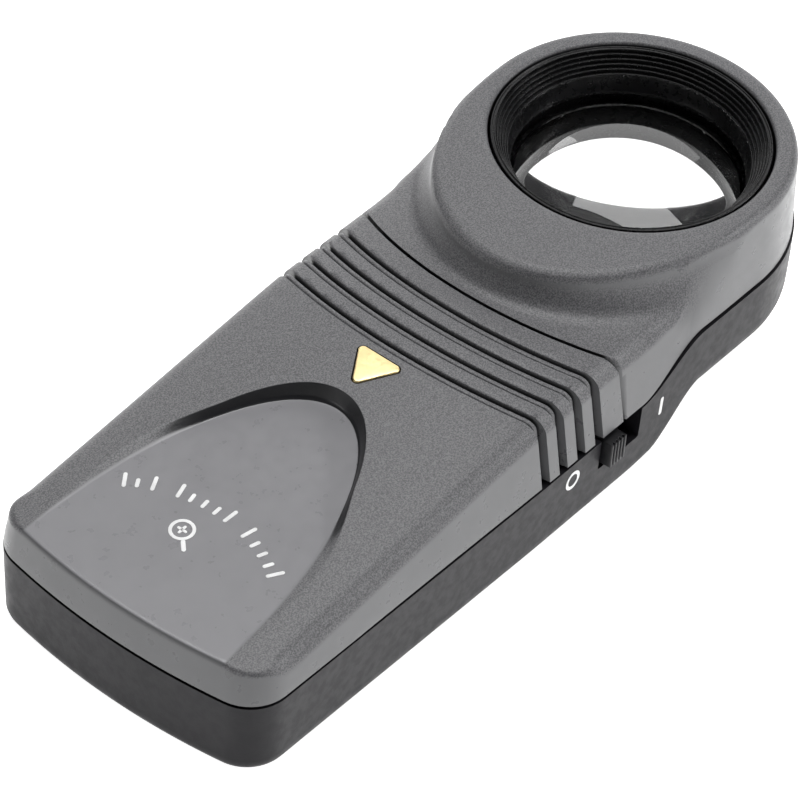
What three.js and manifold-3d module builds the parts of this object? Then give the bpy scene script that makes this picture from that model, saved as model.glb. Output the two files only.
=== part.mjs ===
// Pocket loupe with a lamp: a 10x lens in a round head on a flat handle that holds two AAA cells.
// Millimetres, +Z up. The origin is on the flat underside of the handle, +X runs to the head.
import * as THREE from "three";
import { mergeVertices } from "three/addons/utils/BufferGeometryUtils.js";
import Module from "manifold-3d";

const wasm = await Module();
wasm.setup();

// ---------- driving dimensions ----------
const GAP = 0.3; // clearance between pieces that touch in the real assembly
const LENS_X = 48; // the lens axis is at x = LENS_X, y = 0
const END_RADIUS = 80; // battery end wall, an arc about the lens axis
const HEAD_RADIUS = 18; // head wall at the parting
const END_HALF_WIDTH = 17.4; // the handle narrows a little to the battery end
const NECK_X = LENS_X - 36; // the top is level from here to the head and slopes to the battery end
const PARTING_Z = 9.2; // where the upper covers meet the lower housing, along the handle
const HEAD_PARTING_Z = 13.2; // and around the head
const HEAD_UNDERSIDE_Z = 4.4;
const HEAD_TOP_Z = 22.8;
const CROWN_Z = 19.1; // middle of the crowned top at the ribs
const CROWN_RADIUS = 78;
const SLOPE = 0.105; // fall of the top along the handle
const DRAFT = 0.14; // the upper side walls lean in by this much per millimetre
const EDGE_FILLET = 1.7;
const CORNER_RADIUS = 4.6;
const SEAM = { x: LENS_X + 6.2, radius: 33.8 }; // arc between battery cover and head cover
const RIBS = { x: LENS_X + 9.5, radius: 48.65, pitch: 2.63, count: 4, width: 0.9, depth: 0.7 };
const THUMB = { x: LENS_X - 80, a: 33.8, b: 13.6, floorZ: 13.5, slope: 0.072 }; // thumb recess, an ellipse
const EYE_RADIUS = 15; // opening in the top of the head
const FLAT_REACH = 24.3; // how far the flat top of the head reaches from the lens axis to the handle
const FLAT_RADIUS = 17.3;
const APERTURE_RADIUS = 12; // opening in the underside of the head
const WALL = 1.5;
const SLOT = { x0: LENS_X - 26.2, x1: LENS_X - 19.5, z0: 5.0 }; // switch opening in the -Y wall
const CELL = { radius: 5.25, length: 43.7, y: 5.6, z: 6.75, nub: 0.8 };
const BULKHEAD_X = LENS_X - 27.4;

// ---------- materials ----------
const plastic = (color, roughness) => new THREE.MeshStandardMaterial({ color, roughness, metalness: 0 });
const metal = (color, roughness) => new THREE.MeshStandardMaterial({ color, roughness, metalness: 1 });
const GREY_PLASTIC = plastic(0x6f7073, 0.55);
const DARK_PLASTIC = plastic(0x3a3a3e, 0.42);
const BLACK_PLASTIC = plastic(0x0c0c0d, 0.5);
const WHITE_PLASTIC = plastic(0xe8e6e0, 0.5);
const GOLD_TRIM = metal(0xf2c572, 0.2);
const SPRING_STEEL = metal(0xc9ccd0, 0.28);
const SCREW_STEEL = metal(0x8d9196, 0.35);
const TIN = metal(0xb9bcc2, 0.35);
const SLEEVE = plastic(0x2f6f4f, 0.35);
const BOARD = plastic(0x1f5d3a, 0.45);
const RESISTOR = plastic(0xd8c49a, 0.5);
const RED_WIRE = plastic(0xb3221c, 0.5);
const BLACK_WIRE = plastic(0x141416, 0.5);
const glass = (color, opacity) =>
  new THREE.MeshStandardMaterial({ color, roughness: 0.03, metalness: 0, transparent: true, opacity });
const LENS_GLASS = glass(0xf2f6f8, 0.3);
const LAMP_EPOXY = glass(0xfdfdf8, 0.6);

// ---------- solids ----------
// A closed three.js geometry as a solid; a surface that faces inwards is turned round.
function solid(geometry) {
  const bare = new THREE.BufferGeometry();
  const flat = geometry.index ? geometry.toNonIndexed() : geometry;
  bare.setAttribute("position", flat.getAttribute("position"));
  const merged = mergeVertices(bare, 1e-4);
  const triVerts = new Uint32Array(merged.index.array);
  const vertProperties = merged.attributes.position.array;
  const make = () => new wasm.Manifold(new wasm.Mesh({ numProp: 3, vertProperties, triVerts }));
  let made = make();
  if (made.volume() < 0) {
    for (let i = 0; i < triVerts.length; i += 3) {
      [triVerts[i + 1], triVerts[i + 2]] = [triVerts[i + 2], triVerts[i + 1]];
    }
    made = make();
  }
  return made;
}

function geometryOf(made) {
  const { numProp, vertProperties, triVerts } = made.getMesh();
  const position = new Float32Array((vertProperties.length / numProp) * 3);
  for (let i = 0; i < position.length / 3; i += 1) {
    position.set(vertProperties.subarray(i * numProp, i * numProp + 3), i * 3);
  }
  const geometry = new THREE.BufferGeometry();
  geometry.setAttribute("position", new THREE.BufferAttribute(position, 3));
  geometry.setIndex(new THREE.BufferAttribute(new Uint32Array(triVerts), 1));
  geometry.computeVertexNormals();
  return geometry;
}

const join = (...solids) => solids.reduce((a, b) => a.add(b));
const cut = (body, ...tools) => tools.reduce((a, b) => a.subtract(b), body);
const common = (...solids) => solids.reduce((a, b) => a.intersect(b));

function extruded(points, depth, matrix) {
  const shape = new THREE.Shape(points.map(([u, v]) => new THREE.Vector2(u, v)));
  const geometry = new THREE.ExtrudeGeometry(shape, { depth, bevelEnabled: false });
  return solid(geometry.applyMatrix4(matrix));
}

// An XY outline extruded from z0 to z1; the ends can tilt along X by rise per millimetre.
function upright(points, z0, z1, rise = 0) {
  const tilt = new THREE.Matrix4().set(1, 0, 0, 0, 0, 1, 0, 0, rise, 0, 1, z0, 0, 0, 0, 1);
  return extruded(points, z1 - z0, tilt);
}

// A YZ section extruded along X from x0 to x1; it climbs by rise per millimetre, from height 0 at level.
function lengthways(section, x0, x1, rise = 0, level = x0) {
  const lay = new THREE.Matrix4().set(0, 0, 1, x0, 1, 0, 0, 0, 0, 1, rise, rise * (x0 - level), 0, 0, 0, 1);
  return extruded(section, x1 - x0, lay);
}

// An XZ profile extruded along Y from y0 to y1.
function crossways(profile, y0, y1) {
  const lay = new THREE.Matrix4().set(1, 0, 0, 0, 0, 0, -1, y1, 0, 1, 0, 0, 0, 0, 0, 1);
  return extruded(profile, y1 - y0, lay);
}

// A closed radius-height profile turned about the vertical axis at (x, y).
function turned(profile, x = LENS_X, y = 0, segments = 60) {
  const closed = [...profile, profile[0]].map(([r, z]) => new THREE.Vector2(r, z));
  const geometry = new THREE.LatheGeometry(closed, segments);
  return solid(geometry.rotateX(Math.PI / 2).translate(x, y, 0));
}

// A profile that starts and ends on the axis, turned about the axis along dir from start.
function spun(profile, start, dir, segments = 24) {
  const geometry = new THREE.LatheGeometry(profile.map(([r, h]) => new THREE.Vector2(r, h)), segments);
  const turn = new THREE.Quaternion().setFromUnitVectors(new THREE.Vector3(0, 1, 0), dir.clone().normalize());
  return solid(geometry.applyQuaternion(turn).translate(start.x, start.y, start.z));
}

function box(x0, x1, y0, y1, z0, z1) {
  const geometry = new THREE.BoxGeometry(x1 - x0, y1 - y0, z1 - z0);
  return solid(geometry.translate((x0 + x1) / 2, (y0 + y1) / 2, (z0 + z1) / 2));
}

// An upright round bar.
function rod(radius, z0, z1, x, y, segments = 24) {
  const geometry = new THREE.CylinderGeometry(radius, radius, z1 - z0, segments);
  return solid(geometry.rotateX(Math.PI / 2).translate(x, y, (z0 + z1) / 2));
}

// A round tube along a smooth curve through the points.
function tube(points, radius, steps, sides) {
  const extrudePath = new THREE.CatmullRomCurve3(points);
  const ring = Array.from({ length: sides }, (_, i) => {
    const angle = (2 * Math.PI * i) / sides;
    return new THREE.Vector2(radius * Math.cos(angle), radius * Math.sin(angle));
  });
  return solid(new THREE.ExtrudeGeometry(new THREE.Shape(ring), { steps, extrudePath, bevelEnabled: false }));
}

const arc = (x, y, radius, from, to, steps) =>
  Array.from({ length: steps + 1 }, (_, i) => {
    const angle = from + ((to - from) * i) / steps;
    return [x + radius * Math.cos(angle), y + radius * Math.sin(angle)];
  });

const smooth = (t) => {
  const c = Math.min(Math.max(t, 0), 1);
  return c * c * (3 - 2 * c);
};

// ---------- outlines ----------
// Plan outline of the whole body, counter-clockwise. The handle and the head can be inset by different
// amounts, blending along the neck. The number of points doesn't depend on the insets.
function outline(inset, headInset = inset) {
  const headSide = LENS_X - 6;
  const handleSide = LENS_X - 22;
  const end = END_RADIUS - inset;
  const corner = CORNER_RADIUS - inset * 0.5;
  const sideAt = (x) => {
    const along = Math.min(Math.max((NECK_X - x) / (END_RADIUS - 36), 0), 1);
    const full = HEAD_RADIUS - (HEAD_RADIUS - END_HALF_WIDTH) * along;
    return full - headInset - (inset - headInset) * smooth((headSide - x) / (headSide - handleSide));
  };
  const cornerY = sideAt(LENS_X - END_RADIUS + CORNER_RADIUS) - corner;
  const cornerAngle = Math.asin(cornerY / (end - corner));
  const cornerX = LENS_X - (end - corner) * Math.cos(cornerAngle);
  const stations = [0.08, 0.25, 0.45, 0.65, 0.85, 1].map((t) => headSide + (handleSide - headSide) * t);
  const side = [headSide, ...stations, (handleSide + NECK_X) / 2, NECK_X].map((x) => [x, sideAt(x)]);
  const upperHalf = [
    ...arc(LENS_X, 0, HEAD_RADIUS - headInset, 0, Math.PI / 2, 15).slice(1),
    ...side,
    ...arc(cornerX, cornerY, corner, Math.PI / 2, Math.PI - cornerAngle, 6),
    ...arc(LENS_X, 0, end, Math.PI - cornerAngle, Math.PI, 5).slice(1, -1),
  ];
  const lowerHalf = upperHalf.map(([x, y]) => [x, -y]).reverse();
  return [[LENS_X + HEAD_RADIUS - headInset, 0], ...upperHalf, [LENS_X - end, 0], ...lowerHalf];
}

// A block whose plan goes from one outline at z0 to another at z1.
function drafted(from, to, z0, z1) {
  const shape = new THREE.Shape(from.map(([x, y]) => new THREE.Vector2(x, y)));
  const geometry = new THREE.ExtrudeGeometry(shape, { depth: z1 - z0, bevelEnabled: false });
  const place = geometry.getAttribute("position");
  const key = (x, y) => Math.fround(x) + "," + Math.fround(y);
  const index = new Map(from.map(([x, y], i) => [key(x, y), i]));
  for (let i = 0; i < place.count; i += 1) {
    if (place.getZ(i) > 0) {
      const [x, y] = to[index.get(key(place.getX(i), place.getY(i)))];
      place.setXY(i, x, y);
    }
  }
  return solid(geometry.translate(0, 0, z0));
}

// A block whose plan changes from level to level; each level is [inset, headInset, z].
function stacked(levels) {
  const blocks = levels.slice(1).map(([inset, headInset, z], i) => {
    const [insetBelow, headInsetBelow, zBelow] = levels[i];
    return drafted(outline(insetBelow, headInsetBelow), outline(inset, headInset), zBelow, z);
  });
  return join(...blocks);
}

// The lines where the body steps up from the handle to the head, as XZ points from left to right.
function stepLine(lowZ, highZ, x0, x1, lift = 0) {
  const rise = Array.from({ length: 9 }, (_, i) => {
    const t = i / 8;
    return [x0 + (x1 - x0) * t, lowZ + (highZ - lowZ) * smooth(t) + lift];
  });
  return [[LENS_X - 90, lowZ + lift], ...rise, [LENS_X + 30, highZ + lift]];
}
const partingLine = (lift) => stepLine(PARTING_Z, HEAD_PARTING_Z, LENS_X - 19.5, LENS_X - 9.5, lift);
const undersideLine = (lift) => stepLine(0, HEAD_UNDERSIDE_Z, LENS_X - 17, LENS_X - 9, lift);
const above = (line) => crossways([...line, [LENS_X + 30, 60], [LENS_X - 90, 60]], -40, 40);
const below = (line) => crossways([[LENS_X - 90, -30], [LENS_X + 30, -30], ...[...line].reverse()], -40, 40);

// ---------- outer shapes ----------
// Half-width of the upper side wall at height z in the neck.
const wallAt = (z) => HEAD_RADIUS - DRAFT * (z - PARTING_Z);

// YZ section of the handle's upper body: drafted sides, rounded edges and a crowned top.
function crownedSection(inset, base) {
  const fillet = Math.max(EDGE_FILLET - inset, 0.4);
  const radius = CROWN_RADIUS - inset;
  const crownY = wallAt(17.3) - inset - fillet * 1.05;
  const crownZ = CROWN_Z - CROWN_RADIUS + Math.sqrt(radius * radius - crownY * crownY);
  const lean = Math.atan(DRAFT);
  const start = Math.asin(crownY / radius);
  const filletY = crownY - fillet * Math.sin(start);
  const filletZ = crownZ - fillet * Math.cos(start);
  const edge = arc(filletY, filletZ, fillet, lean, Math.PI / 2 - start, 4);
  const crown = [0.8, 0.6, 0.4, 0.2, 0].map((t) => {
    const y = crownY * t;
    return [y, CROWN_Z - CROWN_RADIUS + Math.sqrt(radius * radius - y * y)];
  });
  const foot = edge[0][0] + DRAFT * (edge[0][1] - base);
  const half = [[foot, base], ...edge, ...crown];
  return [...half, ...half.slice(0, -1).map(([y, z]) => [-y, z]).reverse()];
}

// The handle's upper body as if solid; inset moves all its walls inwards.
function handleTop(inset) {
  const section = crownedSection(inset, 4);
  const sloping = lengthways(section, LENS_X - 90, NECK_X, SLOPE, NECK_X);
  const level = lengthways(section, NECK_X - 0.01, LENS_X - 4);
  return join(sloping, level);
}

// The raised head: flat on top, with a concave flank that runs out on to the neck.
function headTop() {
  const flank = Array.from({ length: 9 }, (_, i) => {
    const t = 1 - i / 8;
    const fall = 0.5 + 4.9 * Math.sin((t * Math.PI) / 2);
    return new THREE.Vector2(FLAT_RADIUS + 0.25 + 3.1 * Math.pow(t, 1.6), HEAD_TOP_Z - fall);
  });
  const foot = [[0, 5], [22.6, 5], [22.4, 16]].map(([r, z]) => new THREE.Vector2(r, z));
  const top = [FLAT_RADIUS, 0].map((r) => new THREE.Vector2(r, HEAD_TOP_Z));
  const geometry = new THREE.LatheGeometry([...foot, ...flank, ...top], 72);
  geometry.rotateX(Math.PI / 2);
  const place = geometry.getAttribute("position");
  for (let i = 0; i < place.count; i += 1) {
    const x = place.getX(i);
    place.setX(i, LENS_X + (x < 0 ? (x * FLAT_REACH) / FLAT_RADIUS : x));
  }
  return solid(geometry);
}

const plan = outline(0);
const LEANING_TOP = 24;
const leaningPlan = outline(DRAFT * (LEANING_TOP - PARTING_Z) - 0.12, 0.75);
const leaning = drafted(plan, leaningPlan, PARTING_Z, LEANING_TOP);
const seamDisc = (radius) => rod(radius, 0, 40, SEAM.x, 0, 96);
const handleSideBlock = box(LENS_X - 95, SEAM.x, -30, 30, -5, 45);

// ---------- battery cover ----------
// A flat ring wall about the rib centre, used to cut one rib groove.
function grooveRing(index) {
  const outer = RIBS.radius - RIBS.pitch * index;
  const inner = outer - RIBS.width;
  return turned([[inner, 5], [outer, 5], [outer, 30], [inner, 30]], RIBS.x, 0, 120);
}

// Thumb recess: an elliptical pocket with a sloped flat floor, open to the battery end.
function thumbPocket() {
  const round = arc(0, 0, 1, -Math.PI / 2, Math.PI / 2, 20);
  const side = round.map(([c, s]) => [THUMB.x + THUMB.a * c, THUMB.b * s]);
  const points = [[THUMB.x - 8, -THUMB.b], ...side, [THUMB.x - 8, THUMB.b]];
  const rise = THUMB.slope;
  return upright(points, THUMB.floorZ - rise * (THUMB.x + 0.7), 40, rise);
}

// Rounded triangle that points to the battery end; grow moves its sides outwards.
function arrowOutline(grow) {
  const radius = 0.55 + grow;
  const centres = [[LENS_X - 40.55, 2.0], [LENS_X - 43.75, 0], [LENS_X - 40.55, -2.0]];
  const facing = [0.25, 1, 1.75].map((turns) => turns * Math.PI);
  return centres.flatMap(([x, y], i) => arc(x, y, radius, facing[i] - 1.0, facing[i] + 1.0, 5));
}
const arrowBlock = (grow, low, high) => {
  const base = CROWN_Z - SLOPE * NECK_X;
  return upright(arrowOutline(grow), base + low, base + high, SLOPE);
};

const RAIL = { x0: LENS_X - 72, x1: LENS_X - 29.5, web: 14.4, flange: 15.5, z0: 10.5, z1: 11.1 };
const HOOK = { x0: LENS_X - 76, x1: LENS_X - 30.5, tip: 14.85, z0: PARTING_Z + 0.25, z1: 10.15 };

function coverCavity() {
  const lift = THUMB.floorZ - 1.15; // ceiling height at the battery end
  const section = [
    [-15.9, 0],
    [15.9, 0],
    [15.9, lift - 1.0],
    [13.6, lift],
    [-13.6, lift],
    [-15.9, lift - 1.0],
  ];
  const room = lengthways(section, LENS_X - 90, LENS_X - 20, THUMB.slope, LENS_X - 79.3);
  return common(room, rod(END_RADIUS - WALL, -5, 40, LENS_X, 0, 120));
}

function batteryCover() {
  const shell = common(handleTop(0), upright(plan, 5, 40), above(partingLine(GAP / 2)));
  const behindSeam = cut(common(shell, handleSideBlock), seamDisc(SEAM.radius + GAP / 2));
  const shallow = handleTop(RIBS.depth);
  const grooves = Array.from({ length: RIBS.count }, (_, i) => cut(grooveRing(i), shallow));
  const pocketed = cut(behindSeam, ...grooves, thumbPocket(), arrowBlock(GAP, -1.1, 3), coverCavity());
  const hooks = [1, -1].map((side) => {
    const y0 = Math.min(side * HOOK.tip, side * 16.4);
    const y1 = Math.max(side * HOOK.tip, side * 16.4);
    return box(HOOK.x0, HOOK.x1, y0, y1, HOOK.z0, HOOK.z1);
  });
  return join(pocketed, ...hooks);
}

function arrowInsert() {
  return arrowBlock(0, -0.8, 0.12);
}

// ---------- head parts ----------
function headCover() {
  const neck = common(handleTop(0), upright(plan, 5, 40));
  const outer = common(join(common(neck, leaning), common(headTop(), leaning)), above(partingLine(GAP / 2)));
  const ahead = common(outer, seamDisc(SEAM.radius - GAP / 2).add(box(SEAM.x, LENS_X + 30, -30, 30, 0, 40)));
  const room = drafted(outline(WALL + 0.1), outline(WALL + 0.6, WALL + 0.4), 5, 15.9);
  const inside = seamDisc(SEAM.radius - GAP / 2 - WALL).add(box(SEAM.x, LENS_X + 30, -30, 30, 0, 40));
  const dome = rod(15.6, 10, 21.2, LENS_X, 0, 60);
  const eye = rod(EYE_RADIUS, 15, 30, LENS_X, 0, 72);
  const lampRoom = common(box(LENS_X - 20.5, LENS_X, -9, 9, 10, 19.5), inside);
  const bosses = screwPlaces.map(([x, y]) => rod(2.4, 9.9, 17, x, y));
  const holes = screwPlaces.map(([x, y]) => rod(1.25, 5, 14, x, y));
  const hollow = cut(ahead, common(room, inside), dome, lampRoom, eye);
  return cut(join(hollow, ...bosses), ...holes);
}

// Black tube with anti-glare steps inside its mouth and a shoulder that holds the upper lens down.
const BARREL = { outer: 14.7, lower: 14.2, bore: 13, lip: 12.3, seatZ: 18 };
BARREL.baseZ = HEAD_UNDERSIDE_Z + WALL + GAP;

function lensBarrel() {
  const steps = 5;
  const stepRise = 0.5;
  const topZ = HEAD_TOP_Z - 0.25;
  const mouth = Array.from({ length: steps }, (_, i) => {
    const r = 12.75 + i * 0.37;
    const z = topZ - stepRise * (steps - i);
    return [[r, z], [r + 0.37, z]];
  }).flat();
  const profile = [
    [BARREL.bore, BARREL.baseZ],
    [BARREL.bore, BARREL.seatZ],
    [BARREL.lip, BARREL.seatZ],
    [BARREL.lip, BARREL.seatZ + 0.4],
    ...mouth,
    [14.6, topZ],
    [BARREL.outer, topZ - 0.1],
    [BARREL.outer, 16.5],
    [BARREL.lower, 16.5],
    [BARREL.lower, BARREL.baseZ],
  ];
  return turned(profile, LENS_X, 0, 64);
}

// Lens that bulges towards edgeZ; its rim runs from planeZ to edgeZ. The thick upper lens has a narrower
// block of glass under its rim, which reaches down through the spacer to blockZ.
function lens(planeZ, edgeZ, sphere, blockZ = planeZ) {
  const radius = 12.65;
  const blockRadius = 11.4;
  const up = Math.sign(edgeZ - planeZ);
  const rimDrop = Math.sqrt(sphere * sphere - radius * radius);
  const dome = Array.from({ length: 9 }, (_, i) => {
    const r = (radius * (8 - i)) / 8;
    return [r, edgeZ + up * (Math.sqrt(sphere * sphere - r * r) - rimDrop)];
  });
  const block = blockZ === planeZ ? [] : [[blockRadius, blockZ], [blockRadius, planeZ]];
  const profile = [[0, blockZ], ...block, [radius, planeZ], ...dome];
  return spun(profile, new THREE.Vector3(LENS_X, 0, 0), new THREE.Vector3(0, 0, 1), 56);
}

function ring(inner, outer, z0, z1) {
  return turned([[inner, z0], [outer, z0], [outer, z1], [inner, z1]], LENS_X, 0, 48);
}

// ---------- lower housing ----------
const screwPlaces = [1, -1].map((side) => [LENS_X - 17.2, side * 12.3]);
const LAMP = { tip: new THREE.Vector3(LENS_X - 16.6, 0, 4.2), back: new THREE.Vector3(-1, 0, 1), length: 7 };
LAMP.back.normalize();
LAMP.base = LAMP.tip.clone().addScaledVector(LAMP.back, LAMP.length);

function lowerHousing() {
  const chamfer = 0.8;
  const toe = 0.4 + chamfer;
  const sides = stacked([[toe, toe, 0], [0.4, 0.6, chamfer], [0, 0, PARTING_Z + 1.2], [0, 0, 14]]);

  // The bottom edge of the head is rounded in two steps, which fade out along the neck.
  const low = HEAD_UNDERSIDE_Z;
  const edge = [[2.4, -1], [2.4, low - 0.3], [1.0, low + 0.3], [-0.1, low + 1.5], [-0.5, 15]];
  const headEdge = stacked(edge.map(([headInset, z]) => [-0.5, headInset, z]));
  const outer = common(sides, headEdge, above(undersideLine(0)), below(partingLine(-GAP / 2)));
  const room = common(upright(outline(WALL + 0.45), 0, 20), above(undersideLine(WALL)));
  const shell = cut(outer, room);

  // Lip that rises inside the head cover, and the rails that the battery cover's hooks slide along.
  const band = (from, to) => cut(upright(outline(from), 1.4, 20), upright(outline(to), 0, 21));
  const lipZone = box(LENS_X - 19.2, LENS_X + 30, -30, 30, 0, 30);
  const lipRoot = common(band(WALL + 0.4, WALL + 1.4), below(partingLine(-GAP)));
  const lipEdge = common(band(WALL + 0.8, WALL + 1.4), below(partingLine(0.9)));
  const lip = common(join(lipRoot, lipEdge), lipZone, above(undersideLine(1)));
  const endOuter = rod(END_RADIUS - 1.8, 1.4, PARTING_Z + 1.1, LENS_X, 0, 120);
  const endBand = cut(endOuter, rod(END_RADIUS - 2.35, 0, 20, LENS_X, 0, 120));
  const endLip = common(endBand, box(LENS_X - 90, LENS_X - 70, -13, 13, 0, 20));
  const rails = [1, -1].flatMap((side) => {
    const span = (a, b) => [Math.min(side * a, side * b), Math.max(side * a, side * b)];
    return [
      box(RAIL.x0, RAIL.x1, ...span(RAIL.web - 0.9, RAIL.web), 1.0, RAIL.z1),
      box(RAIL.x0, RAIL.x1, ...span(RAIL.web - 0.9, RAIL.flange), RAIL.z0, RAIL.z1),
      box(RAIL.x0, RAIL.x1, ...span(RAIL.web - 0.9, 16.6), 1.0, 4.0),
    ];
  });
  const bulkheadBlock = box(BULKHEAD_X, BULKHEAD_X + 1, -16.6, 16.6, 1, PARTING_Z - 0.15);
  const bulkhead = common(bulkheadBlock, upright(outline(0.8), 0, 30));
  const divider = box(LENS_X - 70, BULKHEAD_X - 3, -0.25, 0.25, 1, 3.2);
  const bosses = screwPlaces.map(([x, y]) => common(rod(3.05, 1, 9.5, x, y), above(undersideLine(1))));
  const wireNotches = [CELL.y, -CELL.y].map((y) => {
    return box(BULKHEAD_X - 1, BULKHEAD_X + 2, y - 1, y + 1, 7.2, 12);
  });

  const screwHoles = screwPlaces.flatMap(([x, y]) => [rod(1.35, -1, 12, x, y), rod(2.2, -1, 2.4, x, y)]);
  const aperture = rod(APERTURE_RADIUS, -2, 8, LENS_X, 0, 60);
  const lampBore = spun([[0, 0], [2.85, 0], [2.85, 12], [0, 12]], LAMP.base, LAMP.back.clone().negate());
  const slot = box(SLOT.x0, SLOT.x1, -20, -16.0, SLOT.z0, PARTING_Z + 1);
  const body = join(shell, lip, endLip, ...rails, bulkhead, divider, ...bosses);
  return cut(body, ...wireNotches, ...screwHoles, aperture, lampBore, slot);
}

// ---------- switch ----------
const KNOB = { x: LENS_X - 24.5, width: 2.6, z0: 5.6, z1: 8.7, proud: 19.0 };
const SWITCH = { x0: SLOT.x0 + 0.1, x1: SLOT.x0 + 5.6, outer: -15.75, inner: -11.6 };

function switchBody() {
  const block = box(SWITCH.x0, SWITCH.x1, SWITCH.outer, SWITCH.inner, 4.4, 9.1);
  const well = box(SWITCH.x0 + 0.5, SWITCH.x1 - 0.5, -17, -13.2, 5.6, 8.3);
  return cut(block, well);
}

const switchTerminal = (index) => {
  const x = (SWITCH.x0 + SWITCH.x1) / 2 + (index - 1) * 2.0;
  return box(x - 0.35, x + 0.35, -11.3, -9.3, 6.3, 7.2);
};

const switchStem = () => box(KNOB.x - 0.7, KNOB.x + 0.7, -16.1, -13.6, 6.0, 7.9);

function switchKnob() {
  const half = KNOB.width / 2;
  const cap = box(KNOB.x - half, KNOB.x + half, -(KNOB.proud - 0.35), -16.4, KNOB.z0, KNOB.z1);
  const teeth = 5;
  const pitch = KNOB.width / teeth;
  const ribs = Array.from({ length: teeth }, (_, i) => {
    const x = KNOB.x - half + pitch * (i + 0.5);
    return box(x - pitch * 0.28, x + pitch * 0.28, -KNOB.proud, -18.2, KNOB.z0, KNOB.z1);
  });
  return join(cap, ...ribs);
}

// ---------- lamp and board ----------
function lampBody() {
  const r = 2.5;
  const dome = Array.from({ length: 7 }, (_, i) => {
    const angle = (Math.PI / 2) * (i / 6);
    return [r * Math.sin(angle), r - r * Math.cos(angle)];
  });
  const flangeZ = LAMP.length - 1;
  const flange = [[r, flangeZ], [2.85, flangeZ], [2.85, LAMP.length], [0, LAMP.length]];
  return spun([...dome, ...flange], LAMP.tip, LAMP.back);
}

// A straight square lead from the back of the lamp to the board.
function lampLead(y) {
  const start = LAMP.base.clone().addScaledVector(LAMP.back, GAP).setY(y);
  return spun([[0, 0], [0.28, 0], [0.28, 2.0], [0, 2.0]], start, LAMP.back, 6);
}

// Block across the neck that cradles the lamp at its angle.
function lampHolder() {
  const across = new THREE.Vector3(1, 0, 1).normalize();
  const middle = LAMP.tip.clone().addScaledVector(LAMP.back, 3.6);
  const at = (along, over) => {
    const p = middle.clone().addScaledVector(LAMP.back, along).addScaledVector(across, over);
    return [p.x, p.z];
  };
  const block = crossways([at(1.3, -4.1), at(-1.3, -4.1), at(-1.3, 2.95), at(1.3, 2.95)], -4.6, 4.6);
  const boreStart = middle.clone().addScaledVector(LAMP.back, -10);
  const bore = spun([[0, 0], [2.8, 0], [2.8, 20], [0, 20]], boreStart, LAMP.back);
  const mouth = crossways([at(3, 0), at(-3, 0), at(-3, 6), at(3, 6)], -2.2, 2.2);
  return cut(block, bore, mouth);
}

const BOARD_BOX = { x0: LENS_X - 24.6, x1: LENS_X - 23.6, y0: -7.4, y1: 8, z0: 1.7, z1: 13 };
function circuitBoard() {
  const { x0, x1, y0, y1, z0, z1 } = BOARD_BOX;
  return box(x0, x1, y0, y1, z0, z1);
}

function resistor() {
  const start = new THREE.Vector3(BOARD_BOX.x1 + 1.3, 6.3, 4.0);
  const profile = [[0, 0], [0.3, 0], [0.3, 1], [0.85, 1.2], [0.85, 4.4], [0.3, 4.6], [0.3, 5.6], [0, 5.6]];
  return spun(profile, start, new THREE.Vector3(0, 0, 1), 12);
}

// ---------- cells and contacts ----------
const CELLS = [
  { name: "battery_left", y: CELL.y, from: LENS_X - 73.0, towards: 1 },
  { name: "battery_right", y: -CELL.y, from: LENS_X - 75.2, towards: -1 },
];
const NUB_GAP = 0.3;

function cellBody({ y, from }) {
  const r = CELL.radius;
  const end = CELL.length;
  const profile = [[0, 0], [r - 0.5, 0], [r, 0.5], [r, end - 0.5], [r - 0.5, end], [0, end]];
  return spun(profile, new THREE.Vector3(from, y, CELL.z), new THREE.Vector3(1, 0, 0), 32);
}

function cellNub({ y, from, towards }) {
  const end = towards > 0 ? from + CELL.length + NUB_GAP : from - NUB_GAP;
  const profile = [[0, 0], [1.9, 0], [1.9, CELL.nub - 0.15], [1.6, CELL.nub], [0, CELL.nub]];
  return spun(profile, new THREE.Vector3(end, y, CELL.z), new THREE.Vector3(towards, 0, 0), 20);
}

const PLATE = { headX: LENS_X - 28.2, endX: LENS_X - 77.0, thick: 0.4, z0: 1.9, z1: 9.9 };
const headPlate = (y) => box(PLATE.headX, PLATE.headX + PLATE.thick, y - 3.4, y + 3.4, PLATE.z0, PLATE.z1);
const bridgePlate = () => box(PLATE.endX, PLATE.endX + PLATE.thick, -8.5, 8.5, PLATE.z0, PLATE.z1);

// Cone spring of a few turns along X between x0 and x1.
function coneSpring(y, x0, x1) {
  const turns = 2.5;
  const steps = 30;
  const points = Array.from({ length: steps + 1 }, (_, i) => {
    const t = i / steps;
    const angle = 2 * Math.PI * turns * t;
    const r = 3.0 - 1.1 * t;
    return new THREE.Vector3(x0 + (x1 - x0) * t, y + r * Math.cos(angle), CELL.z + r * Math.sin(angle));
  });
  return tube(points, 0.28, steps, 6);
}

// ---------- fasteners and wires ----------
function housingScrew([x, y]) {
  const profile = [[0, 0.6], [1.85, 0.6], [1.85, 1.5], [0.95, 2.1], [0.95, 12.5], [0, 13]];
  const screw = spun(profile, new THREE.Vector3(x, y, 0), new THREE.Vector3(0, 0, 1), 20);
  const arms = [[1.15, 0.28], [0.28, 1.15]];
  const cross = arms.map(([a, b]) => box(x - a, x + a, y - b, y + b, 0, 1.2));
  return cut(screw, ...cross);
}

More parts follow.
